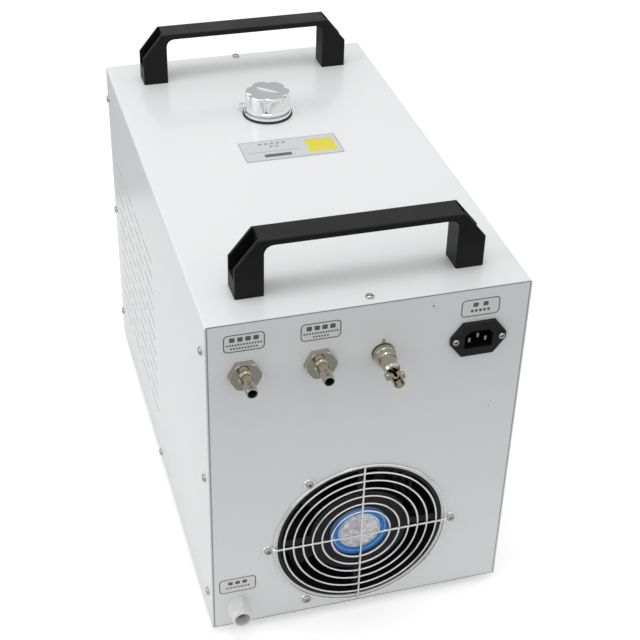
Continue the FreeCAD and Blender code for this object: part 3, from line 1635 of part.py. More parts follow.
def make_front():
    where = {"y": f"-{REAR}", "z": "display_z", "facing": "front"}
    bezel = new_body("display_bezel", **where)
    plate = draw(bezel, "XY")
    block(
        plate,
        "-display_width / 2",
        "display_width / 2",
        "-display_height / 2",
        "display_height / 2",
    )
    pad(bezel, plate, "display_proud")
    soften(
        bezel,
        "Chamfer",
        "display_bevel",
        lambda a, b: near(a.z, "display_proud") and near(b.z, "display_proud"),
    )
    wide = "(display_width / 2 - display_border)"
    tall = "(display_height / 2 - display_border)"
    housing = draw(bezel, "XY", "-display_depth")
    block(housing, f"-{wide} - 2", f"{wide} + 2", f"-{tall} - 2", f"{tall} + 2")
    pad(bezel, housing, "display_depth + 1")
    view = draw(bezel, "XY", "display_proud")
    block(view, f"-{wide}", wide, f"-{tall}", tall)
    pocket(bezel, view, "window_recess + window_thickness")
    keep(bezel, "display_bezel")

    pane = new_body("display_window", **where)
    glass = draw(pane, "XY", "display_proud - window_recess - window_thickness")
    block(glass, f"-{wide}", wide, f"-{tall}", tall)
    pad(pane, glass, "window_thickness")
    keep(pane, "display_window")

    where = {"x": "switch_x", "y": f"-{REAR}", "z": "switch_z", "facing": "front"}
    frame = new_body("switch_frame", **where)
    collar = draw(frame, "XY")
    block(
        collar,
        "-switch_width / 2",
        "switch_width / 2",
        "-switch_height / 2",
        "switch_height / 2",
    )
    pad(frame, collar, "switch_proud")
    wide = "(switch_width / 2 - switch_border)"
    tall = "(switch_height / 2 - switch_border)"
    box = draw(frame, "XY", "-switch_depth")
    block(box, f"-{wide} - 2", f"{wide} + 2", f"-{tall} - 2", f"{tall} + 2")
    pad(frame, box, "switch_depth + 0.5")
    well = draw(frame, "XY", "switch_proud")
    block(well, f"-{wide}", wide, f"-{tall}", tall)
    pocket(frame, well, "switch_depth - 4")
    pivots = draw(frame, "YZ")
    ring(pivots, "0", "-rocker_pivot_depth", "rocker_pivot_radius + pivot_gap")
    pocket(frame, pivots, f"2 * ({wide} + 1.2)", symmetric=True)
    keep(frame, "switch_frame")

    # The rocker is drawn at its middle position about its pivot, and then tilted to its off position.
    rocker = document.addObject("PartDesign::Body", "switch_rocker")
    half = f"({wide} - rocker_gap)"
    reach = f"({tall} - rocker_end_gap)"
    profile = draw(rocker, "YZ", f"-{half}")
    outline(
        profile,
        [
            (f"-{reach}", "rocker_pivot_depth - rocker_dip"),
            (f"-{reach}", "rocker_pivot_depth + rocker_rise"),
            ("-0.5", "rocker_pivot_depth + 1.2"),
            ("0.5", "rocker_pivot_depth + 1.2"),
            (reach, "rocker_pivot_depth + rocker_rise"),
            (reach, "rocker_pivot_depth - rocker_dip"),
            ("3", "-2.5"),
            ("-3", "-2.5"),
        ],
    )
    pad(rocker, profile, f"2 * {half}")
    axle = draw(rocker, "YZ")
    ring(axle, "0", "0", "rocker_pivot_radius")
    pad(rocker, axle, f"2 * ({wide} + 1.0)", symmetric=True)
    tilt = FreeCAD.Rotation(FreeCAD.Vector(1, 0, 0), value("rocker_tilt"))
    rocker.Placement = FreeCAD.Placement(FreeCAD.Vector(), FACING["front"] * tilt)
    rocker.setExpression("Placement.Base.x", bound("switch_x"))
    rocker.setExpression("Placement.Base.y", bound("case_middle_y - case_length / 2 + rocker_pivot_depth"))
    rocker.setExpression("Placement.Base.z", bound("foot_height + switch_z"))
    keep(rocker, "switch_rocker")

    board = prism(
        "control_board",
        lambda sketch: block(
            sketch, "-board_width / 2", "board_width / 2", "-board_height / 2", "board_height / 2"
        ),
        "-(display_depth + board_thickness)",
        "-display_depth",
        y=f"-{REAR}",
        z="display_z",
        facing="front",
    )
    parts = draw(board, "XY", "-(display_depth + board_thickness + board_part_height)")
    for low, high, bottom, top in ((-0.41, -0.14, -0.36, 0.14), (0.0, 0.15, -0.33, -0.06), (0.22, 0.4, -0.08, 0.33)):
        block(
            parts,
            f"board_width * {low}",
            f"board_width * {high}",
            f"board_height * {bottom}",
            f"board_height * {top}",
        )
    pad(board, parts, "board_part_height + board_thickness / 2")
    keep(board, "control_board")


# Inside: shelf, tank with its float switch, pump, radiator and hoses.

RADIATOR_Y = "(case_length / 2 - sheet_thickness - fan_depth - radiator_gap - radiator_thickness / 2)"
RADIATOR_TOP = "(fan_z + radiator_height / 2)"
STUB_X = "(radiator_width / 2 - 12)"

# (x, height above the tank's underside) of the three spouts on the tank's rear wall: out, in and drain.
TANK_SPOUTS = [("0", "25"), (f"-{STUB_X}", "tank_height - 25"), ("100", "14")]


def make_shelf():
    body = new_body("tank_shelf", y="tank_middle_y")
    half = "(shelf_width / 2)"
    section = draw(body, "XZ")
    floor = "sheet_thickness"
    outline(
        section,
        [
            (f"-{half} + shelf_foot", floor),
            (f"-{half}", floor),
            (f"-{half}", "shelf_height"),
            (half, "shelf_height"),
            (half, floor),
            (f"{half} - shelf_foot", floor),
            (f"{half} - shelf_foot", f"{floor} + shelf_thickness"),
            (f"{half} - shelf_thickness", f"{floor} + shelf_thickness"),
            (f"{half} - shelf_thickness", "shelf_height - shelf_thickness"),
            (f"-{half} + shelf_thickness", "shelf_height - shelf_thickness"),
            (f"-{half} + shelf_thickness", f"{floor} + shelf_thickness"),
            (f"-{half} + shelf_foot", f"{floor} + shelf_thickness"),
        ],
    )
    pad(body, section, "tank_length - 40", symmetric=True)
    keep(body, "tank_shelf")


def make_tank():
    body = new_body("water_tank", y="tank_middle_y", z="shelf_height")
    base = draw(body, "XY")
    block(base, "-tank_width / 2", "tank_width / 2", "-tank_length / 2", "tank_length / 2")
    pad(body, base, "tank_height")
    soften(body, "Fillet", "tank_corner", lambda a, b: abs(a.z - b.z) > 50)
    for x, z in TANK_SPOUTS:
        spout = draw(body, "XZ", "tank_length / 2 - 1")
        ring(spout, x, z, "tank_spout_radius")
        pad(body, spout, "tank_spout_length + 1")
        bore = draw(body, "XZ", "tank_length / 2 + tank_spout_length")
        ring(bore, x, z, "hose_bore_radius - 0.5")
        pocket(body, bore, "tank_spout_length + tank_wall + 1")
    room = body.newObject("PartDesign::SubtractiveBox", "water_tank_room")
    room.AttachmentSupport = [(origin_part(body, "XY_Plane"), "")]
    room.MapMode = "FlatFace"
    room.setExpression("Length", bound("tank_width - 2 * tank_wall"))
    room.setExpression("Width", bound("tank_length - 2 * tank_wall"))
    room.setExpression("Height", bound("tank_height - 2 * tank_wall"))
    room.setExpression("AttachmentOffset.Base.x", bound("-tank_width / 2 + tank_wall"))
    room.setExpression("AttachmentOffset.Base.y", bound("-tank_length / 2 + tank_wall"))
    room.setExpression("AttachmentOffset.Base.z", bound("tank_wall"))
    document.recompute()
    lid = draw(body, "XY", "tank_height")
    ring(lid, "0", "filler_y - tank_middle_y", "neck_radius + cover_gap")
    ring(lid, "float_x", "float_y - tank_middle_y", "float_stem_radius + cover_gap")
    pocket(body, lid, "tank_wall + 1")
    keep(body, "water_tank")

    where = {"x": "float_x", "y": "float_y", "z": "shelf_height + tank_height"}
    stem = [
        ("0", "-float_stem_length"),
        ("float_stop_radius", "-float_stem_length"),
        ("float_stop_radius", "-float_stem_length + float_stop_height"),
        ("float_stem_radius", "-float_stem_length + float_stop_height"),
        ("float_stem_radius", "0"),
        ("9", "0"),
        ("9", "5"),
        ("0", "5"),
    ]
    keep(many_sided_turning("float_stem", stem, 16, **where), "float_stem")
    low = "(-float_stem_length + float_stop_height)"
    bore = "(float_stem_radius + float_gap)"
    floater = [
        (bore, low),
        ("float_radius", low),
        ("float_radius", f"{low} + float_length"),
        (bore, f"{low} + float_length"),
    ]
    keep(many_sided_turning("float_ring", floater, 16, **where), "float_ring")


def make_pump():
    where = {"x": "pump_x", "y": "pump_y", "z": "pump_z", "facing": "rear"}
    head = new_body("pump_head", **where)
    drum = draw(head, "XY", "-pump_head_length")
    ring(drum, "0", "0", "pump_head_radius")
    pad(head, drum, "pump_head_length")
    riser = draw(head, "XZ", "-pump_spout_rise")
    ring(riser, "0", "-pump_head_length / 2", "tank_spout_radius")
    pad(head, riser, "pump_spout_rise")
    intake = draw(head, "XY")
    ring(intake, "0", "0", "tank_spout_radius")
    pad(head, intake, "tank_spout_length")
    keep(head, "pump_head")

    motor = [
        ("0", "-pump_head_length - pump_motor_length"),
        ("pump_motor_radius - 6", "-pump_head_length - pump_motor_length"),
        ("pump_motor_radius", "-pump_head_length - pump_motor_length + 6"),
        ("pump_motor_radius", "-pump_head_length"),
        ("0", "-pump_head_length"),
    ]
    keep(many_sided_turning("pump_motor", motor, 24, **where), "pump_motor")

    foot = new_body("pump_bracket", x="pump_x", y="pump_y - pump_head_length - pump_motor_length / 2")
    section = draw(foot, "XZ")
    half = "(pump_foot_width / 2)"
    outline(
        section,
        [
            (f"-{half}", "sheet_thickness"),
            (half, "sheet_thickness"),
            (half, "sheet_thickness + 3"),
            ("22", "pump_z - 8"),
            ("-22", "pump_z - 8"),
            (f"-{half}", "sheet_thickness + 3"),
        ],
    )
    pad(foot, section, "50", symmetric=True)
    saddle = draw(foot, "XZ")
    ring(saddle, "0", "pump_z", "pump_motor_radius")
    pocket(foot, saddle, symmetric=True)
    keep(foot, "pump_bracket")


def make_radiator():
    where = {"y": RADIATOR_Y, "z": "fan_z"}
    core = new_body("radiator_core", **where)
    base = draw(core, "XZ")
    block(
        base,
        "-radiator_width / 2",
        "radiator_width / 2",
        "-radiator_height / 2",
        "radiator_height / 2",
    )
    pad(core, base, "radiator_thickness", symmetric=True)
    count = int(value("(radiator_width - radiator_fin_gap) / radiator_fin_pitch"))
    groove = draw(core, "XY")
    low = "(-radiator_width / 2 + radiator_fin_pitch - radiator_fin_gap)"
    for near_side, far_side in (
        ("radiator_thickness / 2 - radiator_groove", "radiator_thickness / 2 + 1"),
        ("-radiator_thickness / 2 - 1", "-radiator_thickness / 2 + radiator_groove"),
    ):
        block(groove, low, f"{low} + radiator_fin_gap", near_side, far_side)
    first = pocket(core, groove, "radiator_height + 2", symmetric=True)
    grid(core, [first], [("X", "radiator_fin_pitch", count)])
    keep(core, "radiator_core")

    plates = []
    for number, side in enumerate((-1, 1)):
        plate = new_body(f"radiator_plate_{number}", **where)
        sketch = draw(plate, "YZ", f"{side} * (radiator_width + radiator_plate) / 2")
        block(
            sketch,
            "-radiator_plate_depth / 2",
            "radiator_plate_depth / 2",
            f"-fan_z + sheet_thickness",
            "radiator_height / 2",
        )
        pad(plate, sketch, "radiator_plate", symmetric=True)
        plates.append(plate)
    group("radiator_plates", plates)

    tubes = []
    side = "(radiator_width / 2 + radiator_plate)"
    bend = value("radiator_bend_radius")
    lead = value("radiator_lead")
    half_turn = [
        FreeCAD.Vector(-lead - bend * math.sin(math.radians(angle)), 0, bend * math.cos(math.radians(angle)))
        for angle in range(0, 181, 30)
    ]
    half_turn = [FreeCAD.Vector(0, 0, bend)] + half_turn + [FreeCAD.Vector(0, 0, -bend)]
    for number, level in enumerate((-1, 0, 1)):
        height = f"fan_z + {level} * radiator_bend_radius * 2.8"
        shape = tube(half_turn, value("radiator_tube_radius"))
        tubes.append(fixed_shape(f"radiator_bend_{number}", shape, x=f"-{side}", y=RADIATOR_Y, z=height))
    for number, sign in enumerate(("-", "+")):
        stub = prism(
            f"radiator_stub_{number}",
            lambda sketch: many_sided(sketch, "0", "0", "tank_spout_radius * 0.92", 8),
            "0",
            "radiator_stub_length",
            x=f"0 {sign} {STUB_X}",
            y=RADIATOR_Y,
            z=RADIATOR_TOP,
        )
        tubes.append(stub)
    group("radiator_tubes", tubes)


def make_hoses():
    """Each hose grips a spout at both ends and stops just short of the spout's root."""
    grip = "hose_end_gap"
    port_y = f"case_length / 2 - hose_thread_length - {grip}"
    tank_y = f"tank_rear + {grip}"
    stub_z = f"{RADIATOR_TOP} + {grip}"
    out_level, in_level, drain_level = (f"shelf_height + {level}" for x, level in TANK_SPOUTS)
    drain_x = TANK_SPOUTS[2][0]
    intake_y = "pump_y + pump_spout_run"
    hose(
        "return_hose",
        [
            ("return_x", port_y, "port_z"),
            ("return_x", RADIATOR_Y, "port_z"),
            (STUB_X, RADIATOR_Y, f"{RADIATOR_TOP} + 75"),
            (STUB_X, RADIATOR_Y, stub_z),
        ],
    )
    hose(
        "radiator_hose",
        [
            (f"-{STUB_X}", RADIATOR_Y, stub_z),
            (f"-{STUB_X}", RADIATOR_Y, in_level),
            (f"-{STUB_X}", tank_y, in_level),
        ],
    )
    hose(
        "tank_hose",
        [
            ("0", tank_y, out_level),
            ("0", intake_y, out_level),
            ("pump_x", intake_y, "pump_z"),
            ("pump_x", f"pump_y + {grip}", "pump_z"),
        ],
    )
    hose(
        "supply_hose",
        [
            ("pump_x", "pump_y - pump_head_length / 2", f"pump_z + pump_head_radius + {grip}"),
            ("pump_x", "pump_y - pump_head_length / 2", "port_z"),
            ("outlet_x", port_y, "port_z"),
        ],
    )
    hose(
        "drain_hose",
        [
            ("drain_x", f"case_length / 2 - drain_thread_length - {grip}", "drain_z"),
            ("drain_x", "drain_hose_y", "drain_z"),
            (drain_x, "drain_hose_y", drain_level),
            (drain_x, tank_y, drain_level),
        ],
    )


BUILDERS = [
    make_chassis,
    make_cover,
    make_case_screws,
    make_feet,
    make_handles,
    make_filler,
    make_labels,
    make_hose_ports,
    make_alarm_connector,
    make_power_inlet,
    make_drain,
    make_fan,
    make_guard,
    make_front,
    make_shelf,
    make_tank,
    make_pump,
    make_radiator,
    make_hoses,
]


def write_parts():
    document.recompute()
    for thing in document.Objects:
        if "Invalid" in thing.State or "Error" in thing.State:
            raise RuntimeError(f"{thing.Label} failed: {thing.State}")
    for node in NODES:
        if node.Shape.isNull() or not node.Shape.isValid():
            raise RuntimeError(f"{node.Label} has no valid shape")
    os.makedirs("parts", exist_ok=True)
    for node in NODES:
        node.Shape.exportStep(f"parts/{node.Label}.step")


for build in BUILDERS:
    build()
write_parts()
print(f"{len(NODES)} nodes")
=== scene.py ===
# %% [markdown]
# # A bench-top water chiller, dressed for its portrait
# The solids of the chiller come in as a fixed frame in metres, with each piece already in its place.
# These cells give every piece its finish, add the small forms that repeat, and set up the light and
# the camera. The rear wall with its ports and its fan points along +Y, and +Z is up.

import math

import bmesh
import bpy
from mathutils import Matrix, Vector


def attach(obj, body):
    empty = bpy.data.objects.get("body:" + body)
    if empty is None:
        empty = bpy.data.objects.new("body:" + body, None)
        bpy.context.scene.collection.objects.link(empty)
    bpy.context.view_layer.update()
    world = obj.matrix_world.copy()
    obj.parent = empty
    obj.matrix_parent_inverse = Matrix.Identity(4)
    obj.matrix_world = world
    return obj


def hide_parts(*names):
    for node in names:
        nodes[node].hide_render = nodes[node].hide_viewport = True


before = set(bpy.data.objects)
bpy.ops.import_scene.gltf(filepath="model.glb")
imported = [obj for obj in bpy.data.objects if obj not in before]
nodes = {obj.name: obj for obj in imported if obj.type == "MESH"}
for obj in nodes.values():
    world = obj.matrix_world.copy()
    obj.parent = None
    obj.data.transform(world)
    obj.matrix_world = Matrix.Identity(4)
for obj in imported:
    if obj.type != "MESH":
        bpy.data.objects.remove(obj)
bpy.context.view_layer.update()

# %% [markdown]
# ## Places that several pieces share
# The case is 270 mm wide, 471 mm long and 330.7 mm high on 8 mm feet. Its middle lies a little in front of
# the origin, because the alarm plug stands out of the rear wall. `spot` takes a place measured from the
# middle of the case's underside, in millimetres, and gives it in the frame, in metres.

# %% Shared places
MM = 0.001
CASE_WIDTH = 270.0
CASE_LENGTH = 471.0
CASE_HEIGHT = 330.7
CASE_MIDDLE_Y = -18.446
FOOT_HEIGHT = 8.0
SIDE = CASE_WIDTH / 2
REAR = CASE_LENGTH / 2


def spot(x, y, z):
    """A place in the case, in millimetres, as a point of the frame in metres."""
    return Vector((x, y + CASE_MIDDLE_Y, z + FOOT_HEIGHT)) * MM


print("rear wall at y =", round(spot(0, REAR, 0).y, 5))

# %% [markdown]
# ## The camera
# The picture was taken from behind the chiller, a little to one side and well above it, with a long lens
# from about a metre and a half away. A camera is easiest to place by three directions: where it looks from,
# what lies to its right, and what lies above. The slight roll is how the case leans in the picture.

# %% Camera
AZIMUTH = math.radians(162.903417)
ELEVATION = math.radians(35.340121)
ROLL = math.radians(1.6837278)
LENS = 78.37
CAMERA_PLACE = (0.30280, 1.061087, 0.95645)

behind = Vector(
    (math.sin(AZIMUTH) * math.cos(ELEVATION), -math.cos(AZIMUTH) * math.cos(ELEVATION), math.sin(ELEVATION))
)
level_right = (-behind).cross(Vector((0, 0, 1))).normalized()
level_up = level_right.cross(-behind)
right = math.cos(ROLL) * level_right + math.sin(ROLL) * level_up
upward = -math.sin(ROLL) * level_right + math.cos(ROLL) * level_up
camera_data = bpy.data.cameras.new("portrait")
camera_data.lens = LENS
camera_data.sensor_width = 36.0
camera_data.clip_end = 50.0
camera = bpy.data.objects.new("portrait", camera_data)
bpy.context.collection.objects.link(camera)
directions = Matrix((right, upward, behind)).transposed().to_4x4()
camera.matrix_world = Matrix.Translation(CAMERA_PLACE) @ directions
bpy.context.scene.camera = camera
print("camera at", tuple(round(c, 3) for c in camera.matrix_world.translation))

# %% [markdown]
# ## A way to write node trees
# Finishes and repeated shapes are both trees of nodes. `add_node` makes a node, sets its options, and then
# fills each input, either with a plain value or with a link from another node. Options come first, because
# some of them change which inputs a node has.

# %% Node helpers
def add_node(tree, kind, inputs=None, **options):
    made = tree.nodes.new(kind)
    for option, value in options.items():
        setattr(made, option, value)
    for label, value in (inputs or {}).items():
        if isinstance(value, bpy.types.NodeSocket):
            tree.links.new(value, made.inputs[label])
        else:
            made.inputs[label].default_value = value
    return made


def maths(tree, operation, first, second=None):
    """One sum or comparison of two numbers, or of one where the operation needs no more."""
    inputs = {0: first} if second is None else {0: first, 1: second}
    return add_node(tree, "ShaderNodeMath", inputs, operation=operation).outputs[0]


def own_place(tree):
    """Where a point lies on its own object, in metres."""
    return add_node(tree, "ShaderNodeTexCoord").outputs["Object"]


def noise(tree, place, scale, detail):
    """Cloudy values from 0 to 1, with `scale` clouds to the metre."""
    inputs = {"Vector": place, "Scale": scale, "Detail": detail}
    return add_node(tree, "ShaderNodeTexNoise", inputs).outputs["Fac"]


def spread_over(tree, value, low, high, start=0.0, end=1.0):
    """A value between low and high, brought to the range from start to end."""
    inputs = {"Value": value, "From Min": low, "From Max": high, "To Min": start, "To Max": end}
    return add_node(tree, "ShaderNodeMapRange", inputs).outputs["Result"]


def mixed(tree, where, first, second, kind="RGBA", **options):
    """The first where `where` is 0, the second where it is 1."""
    inputs = {"Factor": where, "A": first, "B": second}
    return add_node(tree, "ShaderNodeMix", inputs, data_type=kind, **options).outputs["Result"]


print("node helpers ready")

# %% [markdown]
# ## A way to write finishes
# Every finish here is one Principled shader. What makes it read as a real surface is small and uneven:
# a colour that drifts a little, a roughness with cloudy patches, and a fine bump. Noise on Object
# coordinates gives all three at a true scale, because an object's own coordinates are metres here.

# %% Finish helpers
def blank_finish(name):
    made = bpy.data.materials.new(name)
    made.use_nodes = True
    return made, made.node_tree, made.node_tree.nodes["Principled BSDF"]


def finish(name, colour, roughness, metallic=0.0, drift=0.03, patches=40.0, spread=0.05, grain=None, **sockets):
    """A procedural finish. grain is (scale per metre, depth in metres) of its fine bump."""
    made, tree, shader = blank_finish(name)
    shader.inputs["Metallic"].default_value = metallic
    for label, number in sockets.items():
        shader.inputs[label.replace("_", " ").title().replace("Ior", "IOR")].default_value = number
    place = own_place(tree)
    cloud = noise(tree, place, patches, 4.0)
    darker = (*[max(0.0, c * (1 - drift)) for c in colour], 1)
    lighter = (*[min(1.0, c * (1 + drift)) for c in colour], 1)
    tree.links.new(mixed(tree, cloud, darker, lighter), shader.inputs["Base Color"])
    glossier, duller = max(0.02, roughness - spread), min(1.0, roughness + spread)
    tree.links.new(spread_over(tree, cloud, 0.3, 0.7, glossier, duller), shader.inputs["Roughness"])
    if grain:
        scale, depth = grain
        fine = noise(tree, place, scale, 2.0)
        bump = add_node(tree, "ShaderNodeBump", {"Height": fine, "Distance": depth, "Strength": 1.0})
        tree.links.new(bump.outputs["Normal"], shader.inputs["Normal"])
    return made


def overlay(made, label, where, value):
    """Where `where` is 1, a linked socket of the shader takes this value in place of what it had."""
    tree = made.node_tree
    socket = tree.nodes["Principled BSDF"].inputs[label]
    kind = "RGBA" if label == "Base Color" else "FLOAT"
    tree.links.new(mixed(tree, where, socket.links[0].from_socket, value, kind), socket)


def wear(names, made):
    """Put a finish on solids that keep their own shape."""
    for name in names:
        nodes[name].data.materials.clear()
        nodes[name].data.materials.append(made)


print("finish helpers ready")

# %% [markdown]
# ## White coat and black plastics
# The case is steel sheet with a baked white coat: smooth, faintly orange-peeled, with a clear gloss on top.
# The handles and the inlet are black moulded nylon, which is rougher and slightly grey where light grazes it.
# One helper makes them all, so they differ only in their numbers, and a change of one number is easy to see.

# %% White coat, black plastics and rubber
white_coat = finish(
    "white_coat", (0.805, 0.812, 0.818), 0.34, drift=0.006, patches=6.0, grain=(900.0, 0.000008),
    coat_weight=0.3, coat_roughness=0.06, specular_ior_level=0.35,
)
wear(["cover", "chassis"], white_coat)
black_nylon = finish(
    "black_nylon", (0.0065, 0.0065, 0.007), 0.48, drift=0.12, grain=(2600.0, 0.00003), specular_ior_level=0.17
)
wear(["handle_front", "handle_rear"], black_nylon)
black_moulding = finish(
    "black_moulding", (0.0075, 0.0075, 0.008), 0.4, drift=0.12, grain=(1800.0, 0.00001), specular_ior_level=0.25
)
wear(["power_inlet", "display_bezel", "switch_frame", "switch_rocker", "neck_nut", "pump_head"], black_moulding)
rotor_black = finish(
    "rotor_moulding", (0.006, 0.006, 0.0065), 0.55, drift=0.12, grain=(1800.0, 0.00001), specular_ior_level=0.25
)
wear(["fan_rotor"], rotor_black)
frame_black = finish(
    "black_casting", (0.008, 0.008, 0.009), 0.55, drift=0.15, grain=(1400.0, 0.00004), specular_ior_level=0.3
)
wear(["fan_frame"], frame_black)
wear(["fan_motor", "pump_motor"], finish("dark_coat", (0.02, 0.02, 0.022), 0.45, grain=(900.0, 0.00002)))
black_rubber = finish("black_rubber", (0.012, 0.012, 0.012), 0.7, drift=0.15, grain=(1500.0, 0.00003))
wear(["rubber_feet", "filler_gasket", "cap_seal", "pump_bracket"], black_rubber)
wear(["drain_stopper"], finish("grey_rubber", (0.16, 0.16, 0.165), 0.6, grain=(1500.0, 0.00002)))
print("finishes so far:", len(bpy.data.materials))

# %% [markdown]
# ## Plated and bare metals
# The fittings are brass under a polished nickel plate, which is warmer than chrome. The screws are zinc-plated
# steel, a little duller and cloudier. A metal shows mostly what is round it, so its colour hardly changes, and
# small clouds in its roughness keep it from looking like a mirror.

# %% Metals
nickel = finish("nickel_plate", (0.50, 0.462, 0.385), 0.07, 1.0, drift=0.06, patches=220.0, spread=0.03)
wear(["return_fitting", "outlet_fitting", "port_nuts", "alarm_socket", "alarm_nut", "coupling_ring"], nickel)
wear(["plug_shell", "cable_clamp", "inlet_pins"], nickel)
cap_plate = finish("cap_plate", (0.80, 0.81, 0.815), 0.13, 1.0, drift=0.02, patches=120.0, spread=0.05)
wear(["filler_cap", "filler_neck"], cap_plate)
zinc = finish("bright_zinc", (0.43, 0.415, 0.40), 0.18, 1.0, drift=0.08, patches=300.0, spread=0.06)
wear(["finger_guard", "cover_screws", "foot_screws", "guard_screws", "inlet_screws", "clamp_screws"], zinc)
wear(["alarm_washer", "handle_nuts", "tank_shelf"], zinc)
wear(["handle_bolts"], finish("dark_steel", (0.08, 0.08, 0.085), 0.4, 1.0, patches=300.0))
wear(["radiator_core", "radiator_plates"], finish("fin_aluminium", (0.6, 0.61, 0.62), 0.4, 1.0, patches=150.0))
wear(["radiator_tubes"], finish("copper", (0.62, 0.3, 0.17), 0.3, 1.0, patches=150.0))
print("metals on:", nodes["finger_guard"].data.materials[0].name)

# %% [markdown]
# ## Pale plastics, films and panes
# The drain spout is a white moulding that lets a little light in, so it gets some subsurface. The strap is
# clear nylon, which needs transmission. The hoses, the tank, the films and the pane differ in shade and gloss.

# %% Pale plastics and hoses
white_moulding = finish(
    "white_moulding", (0.76, 0.76, 0.75), 0.35, drift=0.01, grain=(600.0, 0.00001), subsurface_weight=0.1
)
wear(["drain_spout", "drain_nut"], white_moulding)
wear(["float_stem", "float_ring"], finish("float_plastic", (0.7, 0.7, 0.68), 0.4))
wear(["water_tank"], finish("tank_plastic", (0.66, 0.66, 0.62), 0.45, drift=0.02, grain=(300.0, 0.00003)))
wear(["cap_strap"], finish("clear_nylon", (0.86, 0.87, 0.88), 0.35, transmission_weight=0.35, drift=0.01))
milky_hose = finish("milky_hose", (0.62, 0.64, 0.63), 0.3, drift=0.03)
wear(["return_hose", "radiator_hose", "tank_hose", "supply_hose", "drain_hose"], milky_hose)
print("hoses on:", milky_hose.name)

# %% Films, pane and board
wear(["port_labels"], finish("label_film", (0.76, 0.76, 0.745), 0.42, drift=0.01, grain=(1500.0, 0.000006)))
wear(["top_label"], finish("plate_film", (0.60, 0.625, 0.65), 0.3, drift=0.02, grain=(1500.0, 0.000006)))
wear(["display_window"], finish("smoked_pane", (0.012, 0.008, 0.008), 0.08, coat_weight=0.5))
wear(["control_board"], finish("green_board", (0.02, 0.12, 0.05), 0.4, drift=0.2, patches=120.0))
print("finishes in all:", len(bpy.data.materials))

# %% [markdown]
# ## The disc on the fan
# The motor carries a round sticker: a silver middle in a blue ring with paler lines. The disc stays the solid
# it is, and its colours come from the distance to the fan's axis, measured in Object coordinates.

# %% Disc colours
FAN_Z = 84.0
DISC_RADIUS = 0.028
SILVER_SHARE = 0.69
# each band starts at this share of the radius and has this colour
DISC_BANDS = [
    (0.0, (0.92, 0.9, 0.93)),
    (0.62, (0.28, 0.5, 0.72)),
    (0.645, (0.92, 0.92, 0.94)),
    (SILVER_SHARE, (0.006, 0.2, 0.62)),
    (0.84, (0.35, 0.6, 0.85)),
    (0.87, (0.004, 0.15, 0.55)),
    (0.965, (0.012, 0.012, 0.013)),
]


def disc_finish():
    made, tree, shader = blank_finish("fan_disc")
    place = own_place(tree)
    middle = spot(0, REAR, FAN_Z)
    centring = {"Vector": place, "Location": (-middle.x, 0, -middle.z), "Scale": (1, 0, 1)}
    centred = add_node(tree, "ShaderNodeMapping", centring).outputs["Vector"]
    away = add_node(tree, "ShaderNodeVectorMath", {0: centred}, operation="LENGTH").outputs["Value"]
    share = maths(tree, "DIVIDE", away, DISC_RADIUS)
    bands = add_node(tree, "ShaderNodeValToRGB", {"Fac": share})
    ramp = bands.color_ramp
    ramp.interpolation = "CONSTANT"
    while len(ramp.elements) < len(DISC_BANDS):
        ramp.elements.new(1.0)
    for element, (start, colour) in zip(ramp.elements, DISC_BANDS):
        element.position, element.color = start, (*colour, 1)
    silver = spread_over(tree, noise(tree, place, 260.0, 3.0), 0.35, 0.65, 0.55, 1.0)
    shades = {"Red": silver, "Green": silver, "Blue": silver}
    grey = add_node(tree, "ShaderNodeCombineColor", shades).outputs["Color"]
    inside = maths(tree, "LESS_THAN", share, SILVER_SHARE)
    mottled = mixed(tree, inside, bands.outputs["Color"], grey, blend_type="MULTIPLY")
    tree.links.new(mottled, shader.inputs["Base Color"])
    shader.inputs["Roughness"].default_value = 0.3
    return made


wear(["fan_label"], disc_finish())
print("every solid has a finish:", all(len(n.data.materials) == 1 for n in nodes.values()))

# %% [markdown]
# ## Helpers for shapes
# The new pieces are drawn as they would be on a bench: about their own Z axis, in millimetres, and then stood
# on the face of the case that carries them. `stand` is that last move as one matrix. `lathe` turns a profile,
# which is how screws, rings and fittings are made, and `plate` cuts a flat shape out of film or sheet.

# %% Placing and turning
FACING = {
    "up": (0, "X"),
    "rear": (-90, "X"),
    "left": (90, "Y"),
    "right": (-90, "Y"),
}


def stand(x, y, z, facing="up", turn=0.0):
    angle, axis = FACING[facing]
    facing_turn = Matrix.Rotation(math.radians(angle), 4, axis)
    own_turn = Matrix.Rotation(math.radians(turn), 4, "Z")
    return Matrix.Translation(spot(x, y, z)) @ facing_turn @ own_turn @ Matrix.Scale(MM, 4)


def skin(mesh, low, high):
    """Faces between two rings of as many corners."""
    for index in range(len(low)):
        after = (index + 1) % len(low)
        mesh.faces.new((low[index], low[after], high[after], high[index]))


def lathe(mesh, profile, sides=64, closed=False, reach=None):
    """Turn a profile of (radius, height) about Z. reach(angle, radius, height) may reshape the radius."""
    rings = []
    for radius, height in profile:
        if radius == 0:
            rings.append([mesh.verts.new((0, 0, height))])
            continue
        ring = []
        for index in range(sides):
            angle = 2 * math.pi * index / sides
            out = reach(angle, radius, height) if reach else radius
            ring.append(mesh.verts.new((out * math.cos(angle), out * math.sin(angle), height)))
        rings.append(ring)
    pairs = list(zip(rings, rings[1:]))
    if closed:
        pairs.append((rings[-1], rings[0]))
    for low, high in pairs:
        if len(low) == len(high):
            skin(mesh, low, high)
            continue
        for index in range(sides):
            after = (index + 1) % sides
            if len(low) == 1:
                mesh.faces.new((low[0], high[after], high[index]))
            else:
                mesh.faces.new((low[index], low[after], high[0]))


print("a place on the rear wall:", stand(0, REAR, 0, "rear").translation)

